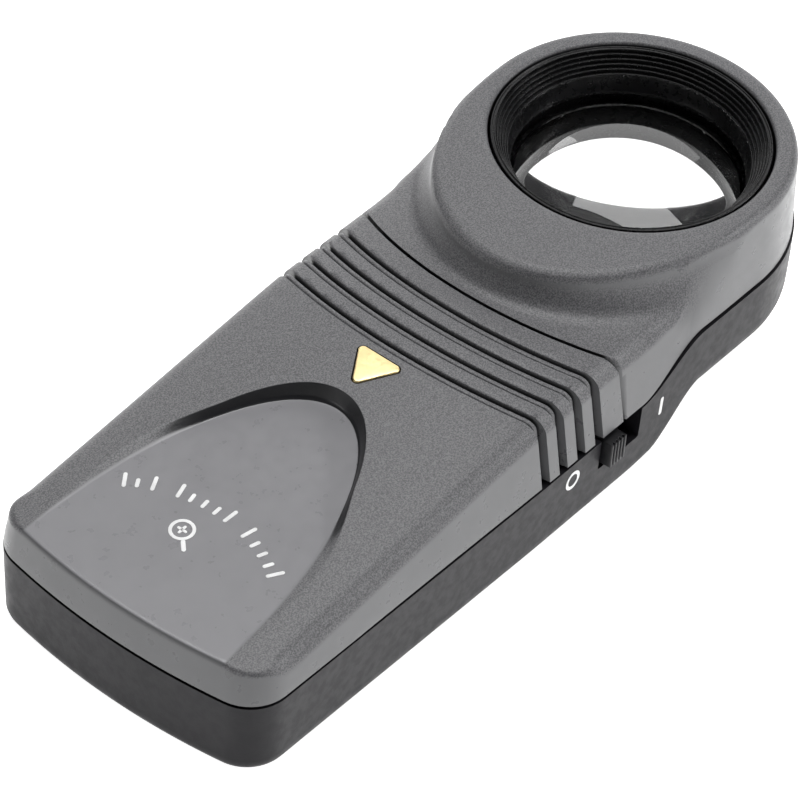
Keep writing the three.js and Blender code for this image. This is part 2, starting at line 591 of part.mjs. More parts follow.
const wirePoints = {
  wire_positive: [
    [BULKHEAD_X - 0.05, CELL.y, 8.2],
    [BULKHEAD_X + 1.4, CELL.y, 8.2],
    [BOARD_BOX.x0 - 0.35, CELL.y, 8.6],
  ],
  wire_negative: [
    [BULKHEAD_X - 0.05, -CELL.y, 8.2],
    [BULKHEAD_X + 1.5, -CELL.y, 8.2],
    [SWITCH.x0 + 0.9, -7.2, 8.3],
    [SWITCH.x0 + 0.9, -9.3, 8.3],
    [SWITCH.x0 + 0.9, -10.2, 7.65],
  ],
  wire_switch: [
    [SWITCH.x0 + 4.9, -10.4, 7.65],
    [LENS_X - 21.6, -10.2, 9.4],
    [LENS_X - 21.9, -8.6, 10.6],
    [LENS_X - 22.2, -6.4, 10.8],
    [BOARD_BOX.x1 + 0.35, -5.6, 10.4],
  ],
};
const wire = (name) => tube(wirePoints[name].map((p) => new THREE.Vector3(...p)), 0.45, 14, 8);

// ---------- assembly ----------
const loupe = new THREE.Group();
loupe.name = "loupe";
function add(name, made, material) {
  const mesh = new THREE.Mesh(geometryOf(made), material);
  mesh.name = name;
  loupe.add(mesh);
}

add("lower_housing", lowerHousing(), DARK_PLASTIC);
add("head_cover", headCover(), GREY_PLASTIC);
add("battery_cover", batteryCover(), GREY_PLASTIC);
add("arrow_insert", arrowInsert(), GOLD_TRIM);
add("lens_barrel", lensBarrel(), BLACK_PLASTIC);
add("upper_lens", lens(15.6, 16.5, 21, 11.55), LENS_GLASS);
add("lens_spacer", ring(11.7, 12.7, 11.6, 15.3), BLACK_PLASTIC);
add("lower_lens", lens(11.25, 9.9, 60), LENS_GLASS);
add("lens_retaining_ring", ring(9.7, 12.7, 6.9, 8.9), BLACK_PLASTIC);
add("lamp", lampBody(), LAMP_EPOXY);
add("lamp_lead_positive", lampLead(1.27), TIN);
add("lamp_lead_negative", lampLead(-1.27), TIN);
add("lamp_holder", lampHolder(), WHITE_PLASTIC);
add("circuit_board", circuitBoard(), BOARD);
add("resistor", resistor(), RESISTOR);
add("switch_body", switchBody(), BLACK_PLASTIC);
["a", "b", "c"].forEach((letter, i) => add("switch_terminal_" + letter, switchTerminal(i), TIN));
add("switch_stem", switchStem(), BLACK_PLASTIC);
add("switch_knob", switchKnob(), BLACK_PLASTIC);
CELLS.forEach((cell) => {
  add(cell.name, cellBody(cell), SLEEVE);
  add(cell.name + "_terminal", cellNub(cell), TIN);
});
add("positive_contact", headPlate(CELL.y), SPRING_STEEL);
add("negative_contact", headPlate(-CELL.y), SPRING_STEEL);
add("bridge_contact", bridgePlate(), SPRING_STEEL);
add("negative_spring", coneSpring(-CELL.y, PLATE.headX - 0.65, LENS_X - 31.5 + 0.65), SPRING_STEEL);
add("bridge_spring", coneSpring(CELL.y, PLATE.endX + PLATE.thick + 0.65, LENS_X - 73.0 - 0.65), SPRING_STEEL);
["left", "right"].forEach((side, i) => {
  add("housing_screw_" + side, housingScrew(screwPlaces[i]), SCREW_STEEL);
});
Object.keys(wirePoints).forEach((name) => {
  add(name, wire(name), name === "wire_positive" ? RED_WIRE : BLACK_WIRE);
});

export default loupe;
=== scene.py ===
import math

import bmesh
import bpy
import numpy as np
from mathutils import Matrix, Vector
from mathutils.geometry import delaunay_2d_cdt


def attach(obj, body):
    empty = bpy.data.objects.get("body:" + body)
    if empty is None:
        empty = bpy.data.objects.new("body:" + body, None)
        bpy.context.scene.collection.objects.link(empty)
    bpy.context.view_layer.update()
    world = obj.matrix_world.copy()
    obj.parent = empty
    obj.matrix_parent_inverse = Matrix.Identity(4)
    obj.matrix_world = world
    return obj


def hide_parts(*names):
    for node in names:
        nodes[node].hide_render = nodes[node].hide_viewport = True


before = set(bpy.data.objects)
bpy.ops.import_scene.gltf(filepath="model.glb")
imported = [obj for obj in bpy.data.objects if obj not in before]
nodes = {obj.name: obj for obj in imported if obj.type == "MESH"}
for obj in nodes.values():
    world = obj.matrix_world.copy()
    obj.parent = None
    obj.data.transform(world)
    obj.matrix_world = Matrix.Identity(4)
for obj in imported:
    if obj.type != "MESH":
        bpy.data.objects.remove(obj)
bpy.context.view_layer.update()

# Shapes are made in millimetres in the row frame and scaled to metres when they are finished.
MM = 0.001

# The body's outside. The head is at +X, and the battery end at -X.
LENS_X = 48.0  # the lens axis
NECK_X = LENS_X - 36  # the top is level from here to the head and slopes to the battery end
END_RADIUS = 80.0  # battery end wall, an arc about the lens axis
END_X = LENS_X - END_RADIUS
HEAD_RADIUS = 18.0
END_HALF_WIDTH = 17.4
CORNER_RADIUS = 4.6
PARTING_Z = 9.2  # the joint between the shells along the handle
HEAD_PARTING_Z = 13.2  # and round the head
HEAD_UNDERSIDE_Z = 4.4
HEAD_TOP_Z = 22.8
CROWN_Z = 19.1  # the handle's top on its centre line, before it slopes
CROWN_RADIUS = 78.0
SLOPE = 0.105
EDGE_FILLET = 1.7
DRAFT = 0.14  # sideways lean of the upper walls along the handle, per unit of height
HEAD_LEAN = 0.05
LOWER_LEAN = 0.03
FLAT_REACH = 24.3  # the head's flat top reaches this far towards the handle
FLAT_RADIUS = 17.3  # and this far to the sides
EYE_RADIUS = 15.0
LENS_RADIUS = 12.65

# The joint between the two covers, the rib grooves and the thumb recess.
SEAM_X = LENS_X + 6.2
SEAM_RADIUS = 33.8
RIB_X = LENS_X + 9.5
RIB_RADIUS = 48.65
RIB_PITCH = 2.63
RIB_WIDTH = 1.05
RIB_COUNT = 4
# The recess is half an ellipse about x, a long and b wide; its floor is at height z where x is end.
RECESS = {"x": LENS_X - 80, "a": 33.3, "b": 12.7, "z": 13.5, "slope": 0.082, "end": LENS_X - 79.3}

# Gaps and thicknesses.
SHELL_SKIN = 0.9  # the outer layer of the housings that is shaped here; below it the CAD shape is kept
PARTING_GAP = 0.17
SEAM_GAP = 0.2
PRINT_THICKNESS = 0.02
PRINT_LIFT = 0.004  # the marks stand this far off the plastic
NEEDLE = 0.0005  # edges shorter than this are merged away
SAME_POINT = 1e-5  # points nearer than this are one

# Fittings that two pieces share.
SLOT_X0 = LENS_X - 26.2  # switch opening in the -Y wall
SLOT_X1 = LENS_X - 19.5
SLOT_Z = 5.0
SCREW_X = LENS_X - 17.2
SCREW_Y = 12.3
LAMP_TIP = (LENS_X - 16.6, 0, 4.2)
LAMP_BACK = tuple(Vector((-1, 0, 1)).normalized())
BULKHEAD_X = LENS_X - 27.4
BOARD_X0 = LENS_X - 24.6
BOARD_X1 = LENS_X - 23.6
CELL_Y = 5.6
CELL_Z = 6.75
CELL_RADIUS = 5.25
CELL_LENGTH = 43.7

# Cutting tools reach past the body, from here to here.
TOOL_X0 = LENS_X - 95
TOOL_X1 = LENS_X + 30


def smoothstep(t):
    """From 0 to 1 as t does, with soft ends."""
    c = np.clip(t, 0.0, 1.0)
    return c * c * (3 - 2 * c)


# ---------- scene plumbing ----------
def link(obj):
    bpy.context.scene.collection.objects.link(obj)
    return obj


def object_from(name, verts, faces):
    mesh = bpy.data.meshes.new(name)
    mesh.from_pydata([tuple(v) for v in verts], [], [tuple(f) for f in faces])
    mesh.update()
    return link(bpy.data.objects.new(name, mesh))


def drop(obj):
    mesh = obj.data
    bpy.data.objects.remove(obj)
    bpy.data.meshes.remove(mesh)


def combine(target, tool, operation):
    """Boolean of two closed meshes, applied at once."""
    mod = target.modifiers.new("boolean", "BOOLEAN")
    mod.operation = operation
    mod.object = tool
    mod.solver = "MANIFOLD"
    graph = bpy.context.evaluated_depsgraph_get()
    made = bpy.data.meshes.new_from_object(target.evaluated_get(graph))
    old = target.data
    target.modifiers.clear()
    target.data = made
    bpy.data.meshes.remove(old)
    drop(tool)
    if not len(made.vertices):
        raise RuntimeError("nothing is left of " + target.name)


def cut(target, *tools):
    for tool in tools:
        combine(target, tool, "DIFFERENCE")


def copy_of(obj, name):
    twin = bpy.data.objects.new(name, obj.data.copy())
    return link(twin)


def cad_copy(node):
    """A welded copy of a CAD node's mesh, in millimetres."""
    twin = copy_of(nodes[node], node + "_copy")
    twin.data.transform(Matrix.Scale(1 / MM, 4))
    twin.data.materials.clear()
    weld(twin.data, 1e-4)
    return twin


def weld(mesh, distance):
    bm = bmesh.new()
    bm.from_mesh(mesh)
    bmesh.ops.remove_doubles(bm, verts=bm.verts, dist=distance)
    bmesh.ops.recalc_face_normals(bm, faces=bm.faces)
    bm.to_mesh(mesh)
    bm.free()


def mark_edges(mesh, angle):
    """Merges needle edges left by cutting, then marks every edge sharper than the angle."""
    bm = bmesh.new()
    bm.from_mesh(mesh)
    bmesh.ops.dissolve_degenerate(bm, dist=NEEDLE, edges=bm.edges)
    bm.normal_update()
    for face in bm.faces:
        face.smooth = True
    for edge in bm.edges:
        sides = [face.normal for face in edge.link_faces]
        edge.smooth = len(sides) == 2 and sides[0].angle(sides[1], 0) < angle
    bm.to_mesh(mesh)
    bm.free()


def finish_piece(obj, body, materials, replaced=(), sharp=32):
    """Smooths the shading up to a sharp angle, scales to metres and hands the piece to its body."""
    mesh = obj.data
    if "custom_normal" in mesh.attributes:
        mesh.attributes.remove(mesh.attributes["custom_normal"])
    mark_edges(mesh, math.radians(sharp))
    mesh.transform(Matrix.Scale(MM, 4))
    mesh.materials.clear()
    for material in materials if isinstance(materials, list) else [materials]:
        mesh.materials.append(material)
    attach(obj, body)
    if replaced:
        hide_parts(*replaced)


# ---------- simple closed solids ----------
def loft(name, rings, capped=True, wrap=False):
    """Closed solid through rings of points, all with the same count."""
    count = len(rings[0])
    verts = np.concatenate([np.asarray(r, float) for r in rings])
    faces = []
    spans = len(rings) if wrap else len(rings) - 1
    for k in range(spans):
        a = k * count
        b = ((k + 1) % len(rings)) * count
        for i in range(count):
            j = (i + 1) % count
            faces.append((a + i, a + j, b + j, b + i))
    if capped:
        faces.append(tuple(range(count))[::-1])
        faces.append(tuple((len(rings) - 1) * count + i for i in range(count)))
    obj = object_from(name, verts, faces)
    weld(obj.data, SAME_POINT)
    return obj


def lathe(name, profile, centre=(LENS_X, 0, 0), axis=(0, 0, 1), segments=128):
    """A radius-height profile turned about an axis; it closes on itself, or on the axis where radii are 0."""
    profile = np.asarray(profile, float)
    angles = np.linspace(0, 2 * math.pi, segments, endpoint=False)
    rings = []
    for r, h in profile:
        ring = np.stack([r * np.cos(angles), r * np.sin(angles), np.full(segments, h)], 1)
        rings.append(ring)
    on_axis = profile[0, 0] == 0 and profile[-1, 0] == 0
    obj = loft(name, rings, capped=False, wrap=not on_axis)
    turn = Vector((0, 0, 1)).rotation_difference(Vector(axis)).to_matrix().to_4x4()
    obj.data.transform(Matrix.Translation(centre) @ turn)
    weld(obj.data, SAME_POINT)
    return obj


def rounded_profile(points, radius, steps=4):
    """A closed polygon with its corners rounded, each over less than half of the sides it joins."""
    out = []
    count = len(points)
    for i in range(count):
        p = np.array(points[i], float)
        before = np.array(points[i - 1], float) - p
        after = np.array(points[(i + 1) % count], float) - p
        u = before / np.linalg.norm(before)
        v = after / np.linalg.norm(after)
        reach = min(radius, 0.48 * np.linalg.norm(before), 0.48 * np.linalg.norm(after))
        for k in range(steps + 1):
            t = k / steps
            out.append(p + u * reach * (1 - t) ** 2 + v * reach * t ** 2)
    return out


def extrude(name, plan, z0, z1, bevel=0.0, rise=0.0, bevel_low=False):
    """An XY outline from z0 to z1, with a rounded upper edge; it tilts by rise per millimetre along X."""
    plan = np.asarray(plan, float)
    levels = [(0.0, z0)]
    if bevel_low:
        levels = [(bevel, z0), (bevel * 0.3, z0 + bevel * 0.3), (0.0, z0 + bevel)]
    if bevel > 0:
        for k in range(5):
            angle = math.pi / 2 * k / 4
            levels.append((bevel * (1 - math.cos(angle)), z1 - bevel + bevel * math.sin(angle)))
    else:
        levels.append((0.0, z1))
    edge = np.roll(plan, -1, 0) - np.roll(plan, 1, 0)
    normal = np.stack([edge[:, 1], -edge[:, 0]], 1)
    normal /= np.maximum(np.linalg.norm(normal, axis=1, keepdims=True), 1e-9)
    area = np.sum(plan[:, 0] * np.roll(plan[:, 1], -1) - np.roll(plan[:, 0], -1) * plan[:, 1])
    normal *= 1 if area > 0 else -1
    rings = []
    for inset, z in levels:
        at = plan - normal * inset
        rings.append(np.column_stack([at, z + rise * at[:, 0]]))
    return loft(name, rings)


def box(name, x0, x1, y0, y1, z0, z1, radius=0.0):
    """A block with rounded upright edges and a rounded top edge."""
    corners = [(x0, y0), (x1, y0), (x1, y1), (x0, y1)]
    if radius <= 0:
        return extrude(name, corners, z0, z1)
    return extrude(name, rounded_profile(corners, radius), z0, z1, bevel=radius * 0.8, bevel_low=True)


def circle(radius, count, x=0.0):
    angles = np.linspace(0, 2 * math.pi, count, endpoint=False)
    return np.stack([x + radius * np.cos(angles), radius * np.sin(angles)], 1)


def prism_across(name, profile, half=40.0):
    """An XZ profile extruded along Y."""
    profile = np.asarray(profile, float)
    rings = [np.insert(profile, 1, y, axis=1) for y in (-half, half)]
    return loft(name, rings)


def parting_line(lift):
    """XZ points of the joint between the shells, which climbs from the handle's level to the head's."""
    t = np.linspace(0, 1, 40)
    x0 = LENS_X - 19.5
    x1 = LENS_X - 9.5
    climb = PARTING_Z + (HEAD_PARTING_Z - PARTING_Z) * smoothstep(t) + lift
    line = [(TOOL_X0, PARTING_Z + lift)]
    line += list(zip(x0 + (x1 - x0) * t, climb))
    line += [(TOOL_X1, HEAD_PARTING_Z + lift)]
    return line


def above(line):
    return prism_across("above", line + [(TOOL_X1, 60), (TOOL_X0, 60)])


def below(line):
    return prism_across("below", [(TOOL_X0, -30), (TOOL_X1, -30)] + line[::-1])


# ---------- the body's outline and top ----------
def side_half_width(x):
    along = np.clip((NECK_X - x) / (NECK_X - END_X), 0, 1)
    return HEAD_RADIUS - (HEAD_RADIUS - END_HALF_WIDTH) * along


def outline(inset, head_inset):
    """Plan of the body, counter-clockwise from the tip of the head; insets are set for handle and head."""
    end = END_RADIUS - inset
    corner = CORNER_RADIUS - inset * 0.5
    head_side = LENS_X - 6
    handle_side = LENS_X - 22

    def side_at(x):
        mixed = head_inset + (inset - head_inset) * smoothstep((head_side - x) / (head_side - handle_side))
        return side_half_width(x) - mixed

    corner_y = side_at(END_X + CORNER_RADIUS) - corner
    corner_angle = math.asin(corner_y / (end - corner))
    corner_x = LENS_X - (end - corner) * math.cos(corner_angle)
    head = np.linspace(0, math.pi / 2, 61)[:-1]
    radius = HEAD_RADIUS - head_inset
    half = [(LENS_X + radius * math.cos(a), radius * math.sin(a)) for a in head]
    half += [(x, side_at(x)) for x in np.linspace(LENS_X, LENS_X - 26, 40)]
    side_xs = np.linspace(0, 1, 62)[1:]
    half += [(x, side_at(x)) for x in LENS_X - 26 + (corner_x - LENS_X + 26) * side_xs]
    turn = np.linspace(math.pi / 2, math.pi - corner_angle, 22)[1:]
    half += [(corner_x + corner * math.cos(a), corner_y + corner * math.sin(a)) for a in turn]
    last = np.linspace(math.pi - corner_angle, math.pi, 18)[1:-1]
    half += [(LENS_X + end * math.cos(a), end * math.sin(a)) for a in last]
    half = np.array(half)
    mirrored = half[1:][::-1] * [1, -1]
    return np.concatenate([half, [[LENS_X - end, 0]], mirrored])


def smooth_max(a, b, k):
    """The larger of two heights, blended over a width of k."""
    h = np.maximum(k - np.abs(a - b), 0) / k
    return np.maximum(a, b) + h * h * k / 4


def crown_height(x, y):
    fall = NECK_X - x
    sloping = 0.5 * (fall + np.sqrt(fall * fall + 4.0))
    return CROWN_Z - SLOPE * sloping - (CROWN_RADIUS - np.sqrt(CROWN_RADIUS ** 2 - y * y))


def head_height(x, y):
    """The flat top of the head, its rounded rim and the concave flank that runs out on to the neck."""
    u = x - LENS_X
    r = np.hypot(np.where(u < 0, u * FLAT_RADIUS / FLAT_REACH, u), y)
    rim = 0.5 * np.clip((r - 16.6) / 0.95, 0, 1) ** 2
    t = np.maximum((r - 17.55) / 3.1, 0) ** (1 / 1.6)
    flank = 4.9 * np.where(t < 1, np.sin(np.minimum(t, 1) * math.pi / 2), 1 + (t - 1) * 2)
    return HEAD_TOP_Z - (rim + flank) * smoothstep(-u / 6)


def recess_floor(x):
    """Height of the thumb recess's flat floor, which climbs a little to the head."""
    return RECESS["z"] + RECESS["slope"] * (x - RECESS["end"])


def recess_outside(x, y):
    """Roughly how far a point is outside the foot of the recess wall."""
    u = np.maximum(x - RECESS["x"], 0) / RECESS["a"]
    v = y / RECESS["b"]
    rho = np.hypot(u, v)
    slope = np.hypot(u / RECESS["a"], v / RECESS["b"]) / np.maximum(rho, 1e-6)
    return (rho - 1) / np.maximum(slope, 1e-6)


def recess_wall(x, y):
    """Height of the recess: a flat floor whose wall is steep near the arrow and gentle at the battery end."""
    run_out = 0.4 + 3.4 * smoothstep((LENS_X - 54 - x) / 14)
    return recess_floor(x) + np.maximum(recess_outside(x, y), 0) / run_out


def top_height(x, y):
    crown = crown_height(x, y)
    sunk = -smooth_max(-crown, -recess_wall(x, y), 0.2)
    handle = np.where(x < LENS_X - 44, sunk, crown)
    return smooth_max(handle, head_height(x, y), 1.3)


def smax_round(a, b, r):
    """The larger of two signed distances, which rounds the edge where they meet to radius r."""
    rounded = np.hypot(np.maximum(a + r, 0), np.maximum(b + r, 0))
    return np.minimum(-r, np.maximum(a, b)) + rounded


def recess_lines():
    """Rows of plan points along the recess wall, from well inside its foot to well outside its upper edge."""
    turn = np.linspace(-math.pi / 2, math.pi / 2, 241)
    foot = np.stack([RECESS["x"] + RECESS["a"] * np.cos(turn), RECESS["b"] * np.sin(turn)], 1)
    normal = np.stack([np.cos(turn) / RECESS["a"], np.sin(turn) / RECESS["b"]], 1)
    normal /= np.linalg.norm(normal, axis=1, keepdims=True)
    low = np.zeros(len(turn))
    high = np.full(len(turn), 5.0)
    for _ in range(40):
        mid = (low + high) / 2
        at = foot + normal * mid[:, None]
        inside = recess_wall(at[:, 0], at[:, 1]) < crown_height(at[:, 0], at[:, 1])
        low = np.where(inside, mid, low)
        high = np.where(inside, high, mid)

    def row(distance):
        return foot + normal * np.broadcast_to(distance, turn.shape)[:, None]

    rows = [row(-1.3), row(-0.8), row(-0.4), row(-0.15), row(0.0)]
    rows += [row(low + d) for d in (-0.08, -0.04, 0.0, 0.04, 0.08, 0.25, 0.6, 1.1)]
    wide = low > 0.3
    rows += [row(low * t)[wide] for t in (0.3, 0.6)]
    return foot, row(low), np.concatenate(rows)


def triangulated(boundary, seeds):
    """Plan triangulation of a closed boundary with loose points inside."""
    count = len(boundary)
    points = [Vector(p) for p in np.concatenate([boundary, seeds])]
    edges = [(i, (i + 1) % count) for i in range(count)]
    made, _, faces, origins, _, _ = delaunay_2d_cdt(points, edges, [], 1, 1e-6)
    return np.array([tuple(p) for p in made]), faces, origins


def inside_polygon(points, polygon):
    x = points[:, 0]
    y = points[:, 1]
    inside = np.zeros(len(points), bool)
    nxt = np.roll(polygon, -1, 0)
    for (x0, y0), (x1, y1) in zip(polygon, nxt):
        crosses = (y0 > y) != (y1 > y)
        with np.errstate(divide="ignore", invalid="ignore"):
            at = x0 + (y - y0) * (x1 - x0) / (y1 - y0)
        inside ^= crosses & (x < at)
    return inside


def distance_to(points, line):
    gap = points[:, None, :] - line[None, :, :]
    return np.sqrt((gap ** 2).sum(2)).min(1)


def shell_solid(name, up, skin, pivot, foot_z, lean, fillet, height, seeds, rows, turns, margin):
    """
    A housing's outside as a closed solid, from foot_z to its top (up = 1) or its underside (up = -1).
    Skin moves the outside inwards. Rows of points climb the wall, and turns of them go round its fillet,
    each found by halving along a ray from a pivot line inside the edge. Seeds are plan points on the top.
    """
    inset = pivot + skin
    plan = outline(0, 0)
    step = (outline(inset, inset) - plan) / inset
    count = len(plan)

    def at(distance):
        return plan + step * np.asarray(distance).reshape(-1, 1)

    def leaning(z):
        return lean * np.maximum(up * (z - PARTING_Z), 0)

    inner = at(np.full(count, inset))
    inner_z = height(inner[:, 0], inner[:, 1]) - up * skin
    pivot_z = inner_z - up * pivot

    def gap(s, z):
        where = at(s)
        over = up * (z - (height(where[:, 0], where[:, 1]) - up * skin))
        return smax_round(leaning(z) - (s - skin), over, fillet)

    def fillet_row(angle):
        low = np.zeros(count)
        high = np.full(count, pivot * 2.2)
        for _ in range(44):
            mid = (low + high) / 2
            solid = gap(inset - mid * math.cos(angle), pivot_z + up * mid * math.sin(angle)) < 0
            low = np.where(solid, mid, low)
            high = np.where(solid, high, mid)
        return np.column_stack([at(inset - low * math.cos(angle)), pivot_z + up * low * math.sin(angle)])

    rings = []
    for level in np.linspace(0, 1, rows)[:-1]:
        z = foot_z + (pivot_z - foot_z) * level
        rings.append(np.column_stack([at(skin + leaning(z)), z]))
    rings += [fillet_row(angle) for angle in np.linspace(0, math.pi / 2, turns)[:-1]]
    rings.append(np.column_stack([inner, inner_z]))
    verts = np.concatenate(rings)
    faces = []
    for k in range(len(rings) - 1):
        a = k * count
        b = a + count
        for i in range(count):
            j = (i + 1) % count
            faces.append((a + i, a + j, b + j, b + i) if up > 0 else (a + j, a + i, b + i, b + j))
    faces.append(tuple(range(count))[::-up])

    base = (len(rings) - 1) * count
    seeds = seeds[inside_polygon(seeds, outline(inset + margin, inset + margin))]
    made, patch, origins = triangulated(inner, seeds)
    index = []
    extra = []
    for (x, y), origin in zip(made, origins):
        on_rim = [o for o in origin if o < count]
        if on_rim:
            index.append(base + on_rim[0])
        else:
            index.append(len(verts) + len(extra))
            extra.append((x, y, float(height(np.array(x), np.array(y))) - up * skin))
    faces += [tuple(index[i] for i in f)[::up] for f in patch]
    obj = object_from(name, np.concatenate([verts, np.array(extra)]), faces)
    weld(obj.data, SAME_POINT)
    return obj


# Rows of points round the head's rim and flank, nearer together where they curve most.
RIM_RADII = [16.4, 16.6, 16.8, 17.0, 17.2, 17.4, 17.55, 17.65, 17.8, 18.0, 18.25, 18.5]
RIM_RADII += [18.8, 19.1, 19.4, 19.7, 20.0]


def upper_body(name, skin=0.0):
    """Both upper covers as one closed solid, from z = 5 up."""
    plan_x = outline(0, 0)[:, 0]
    mixed = smoothstep((LENS_X - 6 - plan_x) / 16)
    end_zone = smoothstep((LENS_X - 73 - plan_x) / 4)
    fillet = 1.0 + 0.7 * mixed - 1.3 * end_zone
    foot, rim, rows = recess_lines()
    xs, ys = np.meshgrid(np.arange(LENS_X - 79, LENS_X + 17, 0.8), np.arange(-17, 17.01, 0.8))
    xs[::2] += 0.4
    seeds = np.stack([xs.ravel(), ys.ravel()], 1)
    turn = np.linspace(math.pi / 2, 3 * math.pi / 2, 181)
    reach = FLAT_REACH / FLAT_RADIUS
    rounds = [np.stack([LENS_X + r * reach * np.cos(turn), r * np.sin(turn)], 1) for r in RIM_RADII]
    radial = np.hypot(np.minimum(seeds[:, 0] - LENS_X, 0) * FLAT_RADIUS / FLAT_REACH, seeds[:, 1])
    clear = (np.abs(radial - 18.2) > 2.0) | (seeds[:, 0] > LENS_X)
    clear &= (distance_to(seeds, foot) > 1.7) & (distance_to(seeds, rim) > 1.5)
    seeds = np.concatenate([seeds[clear], *rounds, rows])
    lean = HEAD_LEAN + (DRAFT - HEAD_LEAN) * mixed
    return shell_solid(name, 1, skin, 2.4, 5.0, lean, fillet, top_height, seeds, rows=6, turns=21, margin=0.3)


def underside_height(x, y):
    """The handle's flat underside, which steps up under the head; it is the same at every y."""
    return HEAD_UNDERSIDE_Z * smoothstep((x - (LENS_X - 17)) / 8)


def lower_body(name, skin=0.0):
    """The lower housing's outside as a closed solid, up to z = 16."""
    fillet = 2.3 - 1.4 * smoothstep((LENS_X - 9 - outline(0, 0)[:, 0]) / 12)
    xs, ys = np.meshgrid(np.arange(LENS_X - 18, LENS_X - 8, 0.5), np.arange(-15, 15.01, 2.0))
    seeds = np.stack([xs.ravel(), ys.ravel()], 1)
    return shell_solid(
        name, -1, skin, 3.4, 16.0, LOWER_LEAN, fillet, underside_height, seeds, rows=5, turns=15, margin=0.4
    )


def disc(name, radius, x):
    return extrude(name, circle(radius, 360, x), -6.0, 45.0)


def block(name, x0, x1):
    return box(name, x0, x1, -30, 30, -7, 46)


# Section of a rib groove, as (distance from the tall wall towards the battery end, height over the surface).
GROOVE = [
    (1.12, 0.6), (1.08, -0.04), (1.05, -0.2), (0.97, -0.26), (0.89, -0.2), (0.84, -0.1), (0.42, -0.12),
    (0.36, -0.2), (0.32, -0.7), (0.27, -0.75), (0.04, -0.75), (-0.01, -0.68), (-0.05, -0.08), (-0.12, 0.02),
    (-0.2, 0.6),
]


def section_path(radius):
    """Points and outward normals where an arc about the rib centre crosses the body, from wall to wall."""
    def x_of(y):
        return RIB_X - math.sqrt(radius * radius - min(abs(y), 17.7) ** 2)

    apex = RIB_X - radius + 3.0
    edge_z = float(crown_height(np.array(apex), np.array(16.0)))
    edge_y = side_half_width(apex) - DRAFT * (edge_z - 0.6 - PARTING_Z) - EDGE_FILLET * 1.06
    half = []
    for y in np.linspace(0, edge_y, 46):
        tilt = y / CROWN_RADIUS
        z = float(crown_height(np.array(x_of(y)), np.array(y)))
        half.append((y, z, math.pi / 2 - math.asin(tilt)))
    start = half[-1][2]
    lean = math.atan(DRAFT)
    centre_y = edge_y - EDGE_FILLET * math.cos(start)
    centre_z = half[-1][1] - EDGE_FILLET * math.sin(start)
    for k in range(1, 13):
        angle = start + (lean - start) * k / 12
        y = centre_y + EDGE_FILLET * math.cos(angle)
        half.append((y, centre_z + EDGE_FILLET * math.sin(angle), angle))
    wall_y, wall_z, angle = half[-1]
    for k in range(1, 9):
        z = wall_z + (PARTING_Z - 1.0 - wall_z) * k / 8
        half.append((wall_y + DRAFT * (wall_z - z), z, angle))
    path = [(-y, z, math.pi - angle) for y, z, angle in half[:0:-1]] + half
    return [(np.array((x_of(y), y, z)), np.array((0, math.cos(a), math.sin(a)))) for y, z, a in path]


def groove_tool(index):
    """Cutter for one rib groove: a small ledge, a shallow floor and a deep slit on the head side."""
    rings = []
    for at, out in section_path(RIB_RADIUS - RIB_WIDTH - RIB_PITCH * index):
        away = np.array([at[0] - RIB_X, np.clip(at[1], -16, 16), 0.0])
        away -= out * away.dot(out)
        away /= np.linalg.norm(away)
        rings.append([at + away * w + out * h for w, h in GROOVE])
    return loft("groove", rings)


def arrow_outline(grow):
    """A triangle with rounded corners that points to the battery end."""
    radius = 0.55 + grow
    centres = [(LENS_X - 40.55, 2.0), (LENS_X - 43.75, 0.0), (LENS_X - 40.55, -2.0)]
    facing = [0.25 * math.pi, math.pi, 1.75 * math.pi]
    points = []
    for (x, y), middle in zip(centres, facing):
        for a in np.linspace(middle - 1.0, middle + 1.0, 13):
            points.append((x + radius * math.cos(a), y + radius * math.sin(a)))
    return points


def arrow_block(name, grow, low, high, bevel=0.0):
    """The arrow as a block that follows the sloping top, from low to high over it."""
    base = CROWN_Z - SLOPE * NECK_X
    return extrude(name, arrow_outline(grow), base + low, base + high, bevel=bevel, rise=SLOPE)


# ---------- the two covers ----------
def ahead_of_seam(name, radius):
    """Everything on the head's side of the joint between the covers."""
    ahead = disc(name, radius, SEAM_X)
    combine(ahead, block(name + "_block", SEAM_X, TOOL_X1), "UNION")
    return ahead


